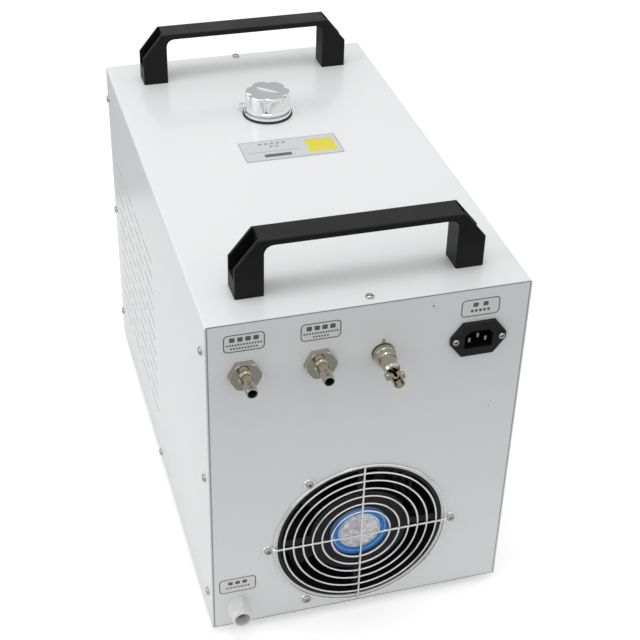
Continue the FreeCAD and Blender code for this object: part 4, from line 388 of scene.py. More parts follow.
# %% Flat shapes
def rounded(width, height, corner, steps=6, x=0.0, y=0.0):
    """The corners of a rounded rectangle, anticlockwise."""
    points = []
    for quarter, (sx, sy) in enumerate(((1, 1), (-1, 1), (-1, -1), (1, -1))):
        for step in range(steps + 1):
            angle = math.pi / 2 * (quarter + step / steps)
            along = sx * (width / 2 - corner) + corner * math.cos(angle)
            up = sy * (height / 2 - corner) + corner * math.sin(angle)
            points.append((x + along, y + up))
    return points


def plate(mesh, outline, low, high, hole=None):
    """A flat plate with straight edges, and with one hole of as many corners as the outline."""
    def loop(points, level):
        return [mesh.verts.new((px, py, level)) for px, py in points]

    bottom, top = loop(outline, low), loop(outline, high)
    skin(mesh, bottom, top)
    if hole is None:
        mesh.faces.new(top)
        mesh.faces.new(bottom[::-1])
        return
    inner_bottom, inner_top = loop(hole, low), loop(hole, high)
    skin(mesh, inner_top, inner_bottom)
    skin(mesh, top, inner_top)
    skin(mesh, inner_bottom, bottom)


print("corners of a rounded square:", len(rounded(10, 10, 2)))

# %% From a mesh to a piece
def join(mesh, own, place):
    """Move a small mesh to its place and add it to a larger one."""
    bmesh.ops.transform(own, matrix=place, verts=own.verts)
    loose = bpy.data.meshes.new("loose")
    own.to_mesh(loose)
    own.free()
    mesh.from_mesh(loose)
    bpy.data.meshes.remove(loose)


def tidy(mesh, name, smooth=35.0):
    """A finished bmesh as mesh data, faces outwards, smooth except at its real edges."""
    bmesh.ops.remove_doubles(mesh, verts=mesh.verts, dist=1e-6)
    bmesh.ops.recalc_face_normals(mesh, faces=mesh.faces)
    data = bpy.data.meshes.new(name)
    mesh.to_mesh(data)
    mesh.free()
    data.shade_smooth()
    data.set_sharp_from_angle(angle=math.radians(smooth))
    return data


def piece(name, data, made, body, instead_of):
    """A finished mesh as a piece of the chiller."""
    thing = bpy.data.objects.new(name, data)
    bpy.context.collection.objects.link(thing)
    data.materials.clear()
    data.materials.append(made)
    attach(thing, body)
    if instead_of:
        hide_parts(*instead_of)
    return thing


def build(name, mesh, place, made, body="case", instead_of=(), smooth=35.0):
    """Stand a bmesh in its place and make it a piece."""
    bmesh.ops.transform(mesh, matrix=place, verts=mesh.verts)
    return piece(name, tidy(mesh, name, smooth), made, body, instead_of)


IN_PLACE = Matrix.Identity(4)
print("shape helpers ready")

# %% [markdown]
# ## Geometry Nodes, and how their result is kept
# A node tree is a good way to make what repeats: the screws, the wires of the finger guard and the ribs of the
# knurl. Each tree has named inputs for its sizes. When it has run, its result is taken as a plain mesh.

# %% Geometry Nodes helpers
def new_tree(name, **inputs):
    """An empty tree with a Geometry input and these others, and the sockets that give their values."""
    tree = bpy.data.node_groups.new(name, "GeometryNodeTree")
    tree.interface.new_socket("Geometry", in_out="INPUT", socket_type="NodeSocketGeometry")
    for label, kind in inputs.items():
        tree.interface.new_socket(label.replace("_", " "), in_out="INPUT", socket_type=f"NodeSocket{kind}")
    tree.interface.new_socket("Geometry", in_out="OUTPUT", socket_type="NodeSocketGeometry")
    return tree, tree.nodes.new("NodeGroupInput").outputs


def copied(tree, points, pattern, **placing):
    """A copy of the pattern on each point."""
    inputs = {"Points": points, "Instance": pattern, **placing}
    return add_node(tree, "GeometryNodeInstanceOnPoints", inputs).outputs["Instances"]


def end_tree(tree, end, given):
    """Every tree ends the same way: real geometry, with its finish set."""
    real = add_node(tree, "GeometryNodeRealizeInstances", {"Geometry": end})
    painting = {"Geometry": real.outputs["Geometry"], "Material": given["Finish"]}
    paint = add_node(tree, "GeometryNodeSetMaterial", painting)
    add_node(tree, "NodeGroupOutput", {"Geometry": paint.outputs["Geometry"]})
    return tree


def grown(name, data, tree, settings):
    """Run a tree on a mesh and return its result as plain mesh data."""
    host = bpy.data.objects.new(name, data)
    bpy.context.collection.objects.link(host)
    modifier = host.modifiers.new(name, "NODES")
    modifier.node_group = tree
    for socket in tree.interface.items_tree:
        if socket.in_out == "INPUT" and socket.name in settings:
            modifier[socket.identifier] = settings[socket.name]
    bpy.context.view_layer.update()
    ready = host.evaluated_get(bpy.context.evaluated_depsgraph_get())
    result = bpy.data.meshes.new_from_object(ready)
    host.modifiers.clear()
    bpy.data.objects.remove(host)
    result.name = name
    return result


print("tree helpers ready")

# %% [markdown]
# ## Pan-head screws
# The sheets are held by pan-head screws with a cross recess. One head is turned on the lathe and the recess is
# cut by a tapered cross. The tree then puts a copy on every screw place, faces it outwards, gives it its size
# and turns each cross by its own amount, because nobody lines screws up.

# %% One screw head
# a head of radius 1, so that a screw's size is simply its head's radius
HEAD_PROFILE = [(0, -0.05), (0.97, -0.05), (1.0, 0.02), (1.0, 0.2)]
HEAD_PROFILE += [(0.93, 0.38), (0.76, 0.53), (0.45, 0.605), (0, 0.62)]
CROSS_ARM, CROSS_HALF = 0.56, 0.13
# the cutter's ends: share of the cross's size, and height
CUTTER_FOOT, CUTTER_TOP = (0.5, 0.16), (1.1, 0.75)


def cross_cutter():
    """A cross that narrows downwards, a little higher than the head."""
    cross = bmesh.new()
    arm, half = CROSS_ARM, CROSS_HALF
    corners = [(half, half), (half, arm), (-half, arm), (-half, half), (-arm, half), (-arm, -half)]
    corners += [(-half, -half), (-half, -arm), (half, -arm), (half, -half), (arm, -half), (arm, half)]
    low, high = [
        [cross.verts.new((x * share, y * share, height)) for x, y in corners]
        for share, height in (CUTTER_FOOT, CUTTER_TOP)
    ]
    skin(cross, low, high)
    cross.faces.new(high)
    cross.faces.new(low[::-1])
    return bpy.data.objects.new("cross", tidy(cross, "cross"))


def screw_head():
    head = bmesh.new()
    lathe(head, HEAD_PROFILE, 28)
    body = bpy.data.objects.new("screw_head", tidy(head, "screw_head"))
    cutter = cross_cutter()
    for thing in (cutter, body):
        bpy.context.collection.objects.link(thing)
    cut = body.modifiers.new("recess", "BOOLEAN")
    cut.operation = "DIFFERENCE"
    cut.solver = "EXACT"
    cut.object = cutter
    bpy.context.view_layer.update()
    result = bpy.data.meshes.new_from_object(body.evaluated_get(bpy.context.evaluated_depsgraph_get()))
    bpy.data.objects.remove(cutter)
    bpy.data.objects.remove(body)
    result.shade_smooth()
    result.set_sharp_from_angle(angle=math.radians(30))
    return result


head_data = screw_head()
print("one head:", len(head_data.polygons), "faces")

# %% The screw tree
def screw_tree():
    tree, given = new_tree("screw_places", Head="Object", Seed="Int", Finish="Material")
    pattern = add_node(tree, "GeometryNodeObjectInfo", {"Object": given["Head"]}).outputs["Geometry"]
    outwards = add_node(tree, "GeometryNodeInputNamedAttribute", {"Name": "outwards"}, data_type="FLOAT_VECTOR")
    size = add_node(tree, "GeometryNodeInputNamedAttribute", {"Name": "size"}, data_type="FLOAT")
    aim = {"Vector": outwards.outputs["Attribute"]}
    align = add_node(tree, "FunctionNodeAlignRotationToVector", aim, axis="Z")
    placing = {"Rotation": align.outputs["Rotation"], "Scale": size.outputs["Attribute"]}
    copies = copied(tree, given["Geometry"], pattern, **placing)
    quarter = {"Max": math.pi / 2, "Seed": given["Seed"]}
    chance = add_node(tree, "FunctionNodeRandomValue", quarter, data_type="FLOAT")
    turning = {"Axis": (0, 0, 1), "Angle": chance.outputs["Value"]}
    around = add_node(tree, "FunctionNodeAxisAngleToRotation", turning).outputs["Rotation"]
    spin = add_node(tree, "GeometryNodeRotateInstances", {"Instances": copies, "Rotation": around})
    return end_tree(tree, spin.outputs["Instances"], given)


screw_places_tree = screw_tree()
head_object = bpy.data.objects.new("head_pattern", head_data)
bpy.context.collection.objects.link(head_object)


def screws(name, places, seed, body, instead_of):
    """places holds (place in the frame, outwards, head radius in millimetres)."""
    points = bpy.data.meshes.new(name)
    points.from_pydata([place for place, outwards, size in places], [], [])
    facing = points.attributes.new("outwards", "FLOAT_VECTOR", "POINT")
    facing.data.foreach_set("vector", [number for place, outwards, size in places for number in outwards])
    sizes = points.attributes.new("size", "FLOAT", "POINT")
    sizes.data.foreach_set("value", [size * MM for place, outwards, size in places])
    data = grown(name, points, screw_places_tree, {"Head": head_object, "Seed": seed, "Finish": zinc})
    return piece(name, data, zinc, body, instead_of)


print("screw tree:", len(screw_places_tree.nodes), "nodes")

# %% All screws
CASE_HEAD, INLET_HEAD, CLAMP_HEAD = 3.7, 2.9, 1.7
# each side: three levels near the rear and the front edge, and one low in the middle, as (y, z)
SCREW_LEVELS = (32, 166, 298)
REAR_ROW, FRONT_ROW = REAR - 15.5, 6.5 - REAR
BASE_SCREW = (-5, 7)
TOP_ROWS = (REAR - 9.5, 4.5 - REAR)
GUARD_SCREW_RADIUS = 84.3
GUARD_SCREW_ANGLES = (0, 180, 55, -55)
GUARD_EYE = 1.2
INLET_X, INLET_Z, INLET_FLANGE, INLET_SCREW_X = -91.8, 281.9, 3.0, 20
ALARM_X, ALARM_Z = -10.5, 281.0
CLAMP_X, CLAMP_Y, CLAMP_TOP = 6, 30.5, 0.85
CASE_SEED, PLUG_SEED = 7, 3

places = []
for y, z in [(row, level) for row in (REAR_ROW, FRONT_ROW) for level in SCREW_LEVELS] + [BASE_SCREW]:
    places += [(spot(side * SIDE, y, z), (side, 0, 0), CASE_HEAD) for side in (-1, 1)]
for y in TOP_ROWS:
    places.append((spot(0, y, CASE_HEIGHT), (0, 0, 1), CASE_HEAD))
guard_screws = [
    (GUARD_SCREW_RADIUS * math.cos(math.radians(angle)), GUARD_SCREW_RADIUS * math.sin(math.radians(angle)))
    for angle in GUARD_SCREW_ANGLES
]
for x, up in guard_screws:
    places.append((spot(x, REAR + GUARD_EYE, FAN_Z + up), (0, 1, 0), CASE_HEAD))
for side in (-1, 1):
    places.append((spot(INLET_X + side * INLET_SCREW_X, REAR + INLET_FLANGE, INLET_Z), (0, 1, 0), INLET_HEAD))
plain_screws = ["cover_screws", "guard_screws", "inlet_screws"]
case_screws = screws("case_screws", places, CASE_SEED, "case", plain_screws)
clamp_places = [
    (spot(ALARM_X + side * CLAMP_X, REAR + CLAMP_Y, ALARM_Z + CLAMP_TOP), (0, 0, 1), CLAMP_HEAD)
    for side in (-1, 1)
]
screws("plug_screws", clamp_places, PLUG_SEED, "alarm_plug", ["clamp_screws"])
bpy.data.objects.remove(head_object)
triangles = sum(len(p.vertices) - 2 for p in case_screws.data.polygons)
print("screws:", len(places) + len(clamp_places), "triangles:", triangles)

# %% [markdown]
# ## The finger guard
# Seven wire rings are welded to two straight wires that cross in front of them. Small eyes on the outermost
# ring take the screws, and the plate is brighter than theirs. The rings follow a rule, so a tree makes them:
# it scales one circle for each ring and sweeps a round wire along it.

# %% The ring tree
WIRE = 0.95
RING_COUNT, INNER_RING, OUTER_RING = 7, 27.0, 79.0


def round_curve(tree, corners, radius):
    inputs = {"Resolution": corners, "Radius": radius}
    return add_node(tree, "GeometryNodeCurvePrimitiveCircle", inputs).outputs["Curve"]


def ring_tree():
    tree, given = new_tree(
        "wire_rings",
        Rings="Int",
        Inner_Radius="Float",
        Outer_Radius="Float",
        Wire_Radius="Float",
        Finish="Material",
    )
    count = add_node(tree, "GeometryNodePoints", {"Count": given["Rings"]}).outputs["Points"]
    number = add_node(tree, "GeometryNodeInputIndex").outputs["Index"]
    last = maths(tree, "SUBTRACT", given["Rings"], 1.0)
    reach = spread_over(tree, number, 0.0, last, given["Inner Radius"], given["Outer Radius"])
    copies = copied(tree, count, round_curve(tree, 96, 1.0), Scale=reach)
    real = add_node(tree, "GeometryNodeRealizeInstances", {"Geometry": copies}).outputs["Geometry"]
    even = add_node(tree, "GeometryNodeSetCurveRadius", {"Curve": real, "Radius": 1.0}).outputs["Curve"]
    wire = round_curve(tree, 10, given["Wire Radius"])
    sweep = add_node(tree, "GeometryNodeCurveToMesh", {"Curve": even, "Profile Curve": wire})
    return end_tree(tree, sweep.outputs["Mesh"], given)


ring_sizes = {
    "Rings": RING_COUNT,
    "Inner Radius": INNER_RING,
    "Outer Radius": OUTER_RING,
    "Wire Radius": WIRE,
    "Finish": zinc,
}
rings = grown("guard_rings", bpy.data.meshes.new("empty"), ring_tree(), ring_sizes)
print("rings:", len(rings.polygons), "faces")

# %% Straight wires and eyes
def rod(mesh, points, radius, sides=10):
    """A round wire along a run of points, with flat ends."""
    points = [Vector(point) for point in points]
    before = None
    for number, point in enumerate(points):
        ahead = (points[min(number + 1, len(points) - 1)] - points[max(number - 1, 0)]).normalized()
        turn = ahead.to_track_quat("Z", "Y")
        angles = [2 * math.pi * index / sides for index in range(sides)]
        around = [turn @ Vector((math.cos(angle), math.sin(angle), 0)) * radius for angle in angles]
        ring = [mesh.verts.new(point + step) for step in around]
        if before:
            skin(mesh, before, ring)
        else:
            mesh.faces.new(ring[::-1])
        before = ring
    mesh.faces.new(before)


CROSS_LEVEL = 2.6 * WIRE
# the level wire bends down to the eyes of its two screws: (reach, height)
WIRE_BENDS = [(77.5, CROSS_LEVEL), (79.2, 1.7), (80.5, 1.2)]
EYE_PROFILE = [(3.0, 0), (5.0, 0), (5.3, 0.6), (5.0, GUARD_EYE), (3.0, GUARD_EYE)]

guard = bmesh.new()
guard.from_mesh(rings)
bmesh.ops.translate(guard, verts=guard.verts, vec=(0, 0, WIRE))
left_end = [(-reach, 0, height) for reach, height in WIRE_BENDS[::-1]]
right_end = [(reach, 0, height) for reach, height in WIRE_BENDS]
rod(guard, left_end + right_end, WIRE)
rod(guard, [(0, -OUTER_RING, CROSS_LEVEL), (0, OUTER_RING, CROSS_LEVEL)], WIRE)
for x, up in guard_screws:
    eye = bmesh.new()
    lathe(eye, EYE_PROFILE, 28, closed=True)
    join(guard, eye, Matrix.Translation((x, -up, 0)))
guard_wire = finish("guard_plate", (0.80, 0.80, 0.79), 0.22, 1.0, drift=0.05, patches=260.0, spread=0.06)
on_fan = stand(0, REAR, FAN_Z, "rear")
guard_piece = build("guard_wires", guard, on_fan, guard_wire, instead_of=["finger_guard"])
print("guard faces:", len(guard_piece.data.polygons))

# %% [markdown]
# ## The filler cap and its neck
# The cap is cast and plated: a round body with six shallow finger flutes that fade out downwards, a satin top
# with one raised ridge, and a bright band at its foot. A wider flange sits under it, on a thin black gasket.
# A lathe profile gives the body, and a rule for the radius presses the flutes into it.

# %% The cap's form
FILLER_Y = -98
CAP_TURN = 13.5
CAP_TOP = 23.9
CAP_WALL = 21.3
CAP_SIDES = 144
FLUTES = 6
FLUTE_HALF = math.radians(18)
FLUTE_FOOT, FLUTE_RISE, FLUTE_DEPTH = 8.9, 13.5, 3.0
FULL_FLUTE_RADIUS = 19.0
RIDGE_TURN = math.radians(123.5)
RIDGE_HALF_LENGTH, RIDGE_HALF_WIDTH = 12.3, 1.7
RIDGE_LEVELS = (CAP_TOP - 0.3, CAP_TOP + 0.6)
CAP_INSIDE = [(17.9, 6.1), (17.9, 20.7), (0, 20.7)]
CAP_OUTSIDE = [(17.9, 6.1), (21.5, 6.1), (21.9, 6.5), (21.9, 8.3), (21.5, 8.75), (21.2, 8.95), (21.25, 9.6)]
CAP_OUTSIDE += [(CAP_WALL, height) for height in (11, 13, 15, 17, 19)]
CAP_OUTSIDE += [(21.25, 21), (21.1, 22.4), (20.8, 23.3), (20.3, 23.75)]
CAP_OUTSIDE += [(radius, CAP_TOP) for radius in (19.7, 18.6, 14, 7, 0)]


def fluted(angle, radius, height):
    """The body's radius, less where a finger flute is pressed in."""
    step = 2 * math.pi / FLUTES
    off = abs((angle + step / 2) % step - step / 2)
    if off >= FLUTE_HALF or height < FLUTE_FOOT:
        return radius
    pressed = FLUTE_DEPTH * min(1.0, max(0.0, (height - FLUTE_FOOT) / FLUTE_RISE)) ** 0.8
    hollow = 0.5 + 0.5 * math.cos(math.pi * off / FLUTE_HALF)
    return radius - pressed * hollow * min(1.0, radius / FULL_FLUTE_RADIUS)


def ridge_outline(corners=40):
    """A long narrow oval, turned to where the ridge points."""
    along = Vector((math.cos(RIDGE_TURN), math.sin(RIDGE_TURN)))
    across = Vector((-math.sin(RIDGE_TURN), math.cos(RIDGE_TURN)))
    angles = [2 * math.pi * number / corners for number in range(corners)]
    return [RIDGE_HALF_LENGTH * math.cos(a) * along + RIDGE_HALF_WIDTH * math.sin(a) * across for a in angles]


print("a flute is", round(CAP_WALL - fluted(0, CAP_WALL, CAP_TOP), 2), "mm deep at the top")

# %% Cap
# how far below and above the top face, in metres, the satin reaches
SATIN_BELOW, SATIN_ABOVE = 0.0003, 0.0002


def satin_top(made, level):
    """The blasted top face is duller and greyer than the polished sides. The ridge on it is polished again."""
    tree = made.node_tree
    height = add_node(tree, "ShaderNodeSeparateXYZ", {"Vector": own_place(tree)}).outputs["Z"]
    above = maths(tree, "GREATER_THAN", height, level - SATIN_BELOW)
    below = maths(tree, "LESS_THAN", height, level + SATIN_ABOVE)
    blasted = maths(tree, "MULTIPLY", above, below)
    overlay(made, "Base Color", blasted, (0.48, 0.485, 0.49, 1))
    overlay(made, "Roughness", blasted, 0.42)


satin_top(cap_plate, (FOOT_HEIGHT + CASE_HEIGHT + CAP_TOP) * MM)
cap = bmesh.new()
lathe(cap, CAP_INSIDE, CAP_SIDES)
lathe(cap, CAP_OUTSIDE, CAP_SIDES, reach=fluted)
plate(cap, ridge_outline(), *RIDGE_LEVELS)
cap_stand = stand(0, FILLER_Y, CASE_HEIGHT, turn=CAP_TURN)
cap_piece = build("fluted_cap", cap, cap_stand, cap_plate, "cap", ["filler_cap"], smooth=40)
print("cap faces:", len(cap_piece.data.polygons))

# %% Neck flange and gasket
NECK_PROFILE = [(14, -30), (17.5, -30), (17.5, 2.0), (22.6, 2.0), (23.0, 2.4), (23.0, 4.0), (22.5, 4.5)]
NECK_PROFILE += [(17.5, 4.5), (17.5, 18), (14, 18)]
GASKET_PROFILE = [(18.2, 0), (23.6, 0), (24.0, 0.5), (24.0, 1.5), (23.6, 2.0), (18.2, 2.0)]
NECK_SIDES = 128

on_filler = stand(0, FILLER_Y, CASE_HEIGHT)
neck, gasket = bmesh.new(), bmesh.new()
lathe(neck, NECK_PROFILE, NECK_SIDES, closed=True)
lathe(gasket, GASKET_PROFILE, NECK_SIDES, closed=True)
build("neck_flange", neck, on_filler, cap_plate, instead_of=["filler_neck"])
build("neck_gasket", gasket, on_filler, black_rubber, instead_of=["filler_gasket"])
print("neck at", tuple(round(c, 4) for c in on_filler.translation))

# %% [markdown]
# ## Hose fittings
# Each fitting is turned from hexagon bar: the corners of the hexagon are chamfered round, a short neck steps
# down from it, and the barbs are cones that let a hose on and not off. The bore is open, and its dark inside is
# painted shade.

# %% Fittings
RETURN_X, OUTLET_X, PORT_Z = 104.0, 42.2, 281.6
RETURN_TURN, OUTLET_TURN = 31.0, 33.0
BARB_TIPS = (14.0, 20.5, 27.0)
HEX_HALF_FLATS, HEX_THICK, HEX_SIDES = 24.2 / 2, 6.0, 72
HEX_CORNER = HEX_HALF_FLATS / math.cos(math.pi / 6)
# the chamfer takes the corners back: (height, radius that no corner passes)
HEX_ROWS = [
    (0, HEX_CORNER),
    (HEX_THICK - 1.3, HEX_CORNER),
    (HEX_THICK - 0.5, HEX_CORNER - 0.5),
    (HEX_THICK, HEX_CORNER - 1.3),
]
STEM_PROFILE = [(0, -26), (5.3, -26), (5.3, -12), (6.5, -12), (6.5, 0), (6.4, 5.9), (6.2, 6.3), (5.7, 6.5)]
STEM_PROFILE += [(5.7, 7.6), (5.3, 8.1), (4.4, 8.2)]
for tip in BARB_TIPS:
    STEM_PROFILE += [(4.4, tip - 4.8), (4.96, tip - 4.75), (5.0, tip - 4.6), (5.0, tip - 4.05), (4.4, tip)]
STEM_PROFILE += [(4.2, 27.0), (3.75, 26.85), (3.75, -8), (0, -8)]
BORE_SHADE_PROFILE = [(0, -7.95), (3.73, -7.95), (3.73, 25.6), (3.62, 25.6), (3.62, -7.8), (0, -7.8)]


def hexagon(mesh):
    rows = []
    for height, limit in HEX_ROWS:
        row = []
        for index in range(HEX_SIDES):
            angle = 2 * math.pi * index / HEX_SIDES
            side = math.pi / 3
            out = min(HEX_HALF_FLATS / math.cos((angle + side / 2) % side - side / 2), limit)
            row.append(mesh.verts.new((out * math.cos(angle), out * math.sin(angle), height)))
        rows.append(row)
    for low, high in zip(rows, rows[1:]):
        skin(mesh, low, high)
    mesh.faces.new(rows[0][::-1])
    mesh.faces.new(rows[-1])


def fitting(name, x, turn, node):
    mesh = bmesh.new()
    hexagon(mesh)
    lathe(mesh, STEM_PROFILE, 64)
    place = stand(x, REAR, PORT_Z, "rear", turn)
    return build(name, mesh, place, nickel, instead_of=[node], smooth=28)


def bore_shade_cup(name, x):
    """A thin closed cup in a near-black finish: painted shade deep inside the bore."""
    mesh = bmesh.new()
    lathe(mesh, BORE_SHADE_PROFILE, 48)
    build(name, mesh, stand(x, REAR, PORT_Z, "rear"), unlit_bore)


return_piece = fitting("return_barb_fitting", RETURN_X, RETURN_TURN, "return_fitting")
outlet_piece = fitting("outlet_barb_fitting", OUTLET_X, OUTLET_TURN, "outlet_fitting")
# painted shade: the near-black finish of the cups that stand in for the darkness deep in the bores
unlit_bore = finish("bore_painted_shade", (0.012, 0.011, 0.010), 0.6, drift=0.1, patches=600.0)
bore_shade_cup("return_bore", RETURN_X)
bore_shade_cup("outlet_bore", OUTLET_X)
print("fittings:", return_piece.name, outlet_piece.name)

# %% [markdown]
# ## The alarm connector
# A round panel socket with its plug. The coupling ring has a knurled band, so that fingers can turn it. The
# knurl is many small ribs round one circle, which is again work for a tree.

# %% Knurl tree
def knurl_tree():
    tree, given = new_tree(
        "knurl", Ribs="Int", Radius="Float", Length="Float", Width="Float", Finish="Material"
    )
    circle = add_node(tree, "GeometryNodeMeshCircle", {"Vertices": given["Ribs"], "Radius": given["Radius"]})
    shape = {
        "Vertices": 6,
        "Radius Top": given["Width"],
        "Radius Bottom": given["Width"],
        "Depth": given["Length"],
    }
    rib = add_node(tree, "GeometryNodeMeshCone", shape)
    return end_tree(tree, copied(tree, circle.outputs["Mesh"], rib.outputs["Mesh"]), given)


rib_sizes = {"Ribs": 44, "Radius": 9.0, "Length": 3.9, "Width": 0.36, "Finish": nickel}
ring_ribs = grown("ring_ribs", bpy.data.meshes.new("empty"), knurl_tree(), rib_sizes)
print("ribs:", len(ring_ribs.polygons), "faces")

# %% Coupling ring
RING_PROFILE = [(7.2, 1.5), (8.8, 1.5), (9.05, 1.75), (9.05, 5.7), (8.9, 6.0), (8.5, 6.2), (8.5, 10.4)]
RING_PROFILE += [(8.35, 11.0), (7.9, 12.2), (7.6, 12.4), (6.85, 12.4), (6.85, 11.2), (7.2, 11.2)]
RIBS_START = 1.85

ring = bmesh.new()
ring.from_mesh(ring_ribs)
bmesh.ops.translate(ring, verts=ring.verts, vec=(0, 0, RIBS_START))
lathe(ring, RING_PROFILE, 72, closed=True)
on_socket = stand(ALARM_X, REAR, ALARM_Z, "rear")
ring_piece = build("knurled_ring", ring, on_socket, nickel, "plug_ring", ["coupling_ring"])
print("knurled ring faces:", len(ring_piece.data.polygons))

# %% [markdown]
# ## Stickers
# The four port stickers are pale film with a thin dark border. Rows of plain blocks of about the right weight
# make each one read as a sticker from a step away. The larger one on top has a thin frame, a yellow field and
# a dark strip. All this print is real geometry, a tenth of a millimetre thick, so that its edges stay sharp.

# %% Port stickers
PORT_PRINT = (0.26, 0.36)
# width, height, corner and line of a border
PORT_BORDER = (33.1, 16.6, 3.8, 0.85)
# x and z of the sticker, then its rows: how many blocks, pitch, y, width and height of a block
STICKERS = [
    (RETURN_X, 312.0, [(4, 6.4, -3.3, 4.4, 4.2), (13, 2.25, 1.6, 1.45, 1.7), (10, 2.3, 4.9, 1.45, 1.7)]),
    (OUTLET_X, 312.0, [(4, 6.4, -3.3, 4.4, 4.2), (13, 2.25, 1.6, 1.45, 1.7), (6, 2.3, 4.9, 1.45, 1.7)]),
    (-91.6, 312.0, [(2, 8.6, -2.9, 4.4, 4.0), (5, 3.5, 2.9, 2.3, 2.6)]),
    (111.8, 49.3, [(3, 6.4, -2.8, 4.2, 3.8), (10, 2.2, 2.4, 1.4, 1.9)]),
]


def bar(mesh, place, x, y, width, height, levels=PORT_PRINT):
    """A block of print, from the first of the two levels to the second."""
    own = bmesh.new()
    corner = min(0.8, 0.3 * min(width, height))
    plate(own, rounded(width, height, corner, 2, x, y), *levels)
    join(mesh, own, place)


def border(mesh, place, width, height, corner, line, levels=PORT_PRINT):
    own = bmesh.new()
    outer = rounded(width, height, corner, 8)
    inner = rounded(width - 2 * line, height - 2 * line, corner - line, 8)
    plate(own, outer, *levels, inner)
    join(mesh, own, place)


def row(mesh, place, count, pitch, y, width, height, middle=0.0, levels=PORT_PRINT):
    """Equal blocks side by side, as many to the left of the middle as to the right."""
    for number in range(count):
        bar(mesh, place, middle + (number - (count - 1) / 2) * pitch, y, width, height, levels)


prints = bmesh.new()
for x, z, rows in STICKERS:
    place = stand(x, REAR, z, "rear")
    border(prints, place, *PORT_BORDER)
    for numbers in rows:
        row(prints, place, *numbers)
dark_ink = finish("dark_ink", (0.105, 0.11, 0.108), 0.5, drift=0.25, patches=900.0)
label_prints = build("sticker_prints", prints, IN_PLACE, dark_ink)
print("sticker prints:", len(label_prints.data.polygons), "faces")

# %% Top sticker
TOP_PRINT = (0.44, 0.56)
TOP_X, TOP_Y = -3.8, -24.5
TOP_BORDER = (92.6, 36.6, 1.2, 0.6)
# how many blocks, pitch, y, width and height of a block, and the middle of the row
TOP_ROWS_OF_BLOCKS = [(5, 5.6, -12.0, 3.4, 3.0, 15.6), (2, 5.2, -6.2, 3.2, 2.8, 14.9)]
# x, y, width and height
FINE_LINE = (17.3, 2.8, 50, 0.6)
YELLOW_FIELD = (-28.6, -0.5, 27, 24)
DARK_STRIP = (14.8, 10.5, 25.5, 5.4)

on_top = stand(TOP_X, TOP_Y, CASE_HEIGHT)
lines, field, strip = bmesh.new(), bmesh.new(), bmesh.new()
border(lines, on_top, *TOP_BORDER, TOP_PRINT)
for numbers in TOP_ROWS_OF_BLOCKS:
    row(lines, on_top, *numbers, TOP_PRINT)
bar(lines, on_top, *FINE_LINE, TOP_PRINT)
bar(field, on_top, *YELLOW_FIELD, TOP_PRINT)
bar(strip, on_top, *DARK_STRIP, TOP_PRINT)
edge_ink = finish("pale_ink", (0.30, 0.33, 0.35), 0.4, drift=0.2, patches=700.0)
yellow_ink = finish("yellow_ink", (0.74, 0.66, 0.035), 0.4, drift=0.08, patches=160.0)
build("top_sticker_lines", lines, IN_PLACE, edge_ink)
build("top_sticker_field", field, IN_PLACE, yellow_ink)
build("top_sticker_strip", strip, IN_PLACE, dark_ink)
print("top sticker at", tuple(round(c, 4) for c in on_top.translation))

# %% [markdown]
# ## Seams and small marks on the rear wall
# The folded edges leave a narrow gap where the cover meets the rear wall; its shade is painted as a fine dark
# line, and a paler painted shade runs up the gap at each side of it. The sheet also has one small hole, whose
# shade is painted as a dark square, and one small dark mark. All are thin bars laid into the sheet, because a
# real groove this narrow would only flicker.

# %% Seams, hole and mark
SEAM_SHADE_BORDER = (CASE_WIDTH - 2.3, CASE_HEIGHT - 1.1, 1.0, 0.5)
SEAM_LEVELS = (-0.15, 0.03)
# x and z on the wall, width and height, and the levels of the bar
# the first bar is the painted shade inside a small hole, the second a small dark mark
SMALL_MARKS = [(-51, 319.4, 1.5, 1.5, (-0.1, 0.04)), (-108.9, 206.7, 0.5, 1.6, (-0.1, 0.03))]
GAP_INSET = 1.15
GAP_WIDTHS = {1: 1.2, -1: 0.9}
GAP_LENGTH = CASE_HEIGHT - 1.2
GAP_LEVELS = (-0.14, 0.035)

marks = bmesh.new()
border(marks, stand(0, REAR, CASE_HEIGHT / 2, "rear"), *SEAM_SHADE_BORDER, SEAM_LEVELS)
for x, z, width, height, levels in SMALL_MARKS:
    bar(marks, stand(x, REAR, z, "rear"), 0, 0, width, height, levels)
# painted shade of the seam gap and of the hole, and the colour of one small dark mark
seam_shade_and_mark = finish("seam_shade_and_mark", (0.15, 0.15, 0.15), 0.7, drift=0.1, patches=200.0)
build("seam_line", marks, IN_PLACE, seam_shade_and_mark)

gaps = bmesh.new()
for side, width in GAP_WIDTHS.items():
    place = stand(side * (SIDE - GAP_INSET - width / 2), REAR, CASE_HEIGHT / 2, "rear")
    bar(gaps, place, 0, 0, width, GAP_LENGTH, GAP_LEVELS)
# painted shade in the gap at each side of the rear wall
gap_shade = finish("gap_shade", (0.33, 0.335, 0.34), 0.6, drift=0.15, patches=60.0)
gap_piece = build("side_gaps", gaps, IN_PLACE, gap_shade)
print("gap faces:", len(gap_piece.data.polygons))

# %% [markdown]
# ## Screens behind the air slots
# Seen along the side, the slots are only a faint texture, because a perforated screen lies close behind them.
# Thousands of real holes would cost a lot and show as little, so each side gets one thin plate in the depth of
# the sheet, and the holes are painted on it as shade: cells 2 mm apart without any chance in them, dark near
# each middle.

# %% Vent screens
SCREEN_LEVELS = (-0.95, -0.7)
SLOT_MIDDLE_Y, SLOT_MIDDLE_Z = -105.0, 147.5
SLOT_FIELD_LENGTH, SLOT_FIELD_HEIGHT = 4 * 52.0, 11 * 18.0 + 4
HOLE_PITCH, HOLE_SHARE = 0.002, 0.33


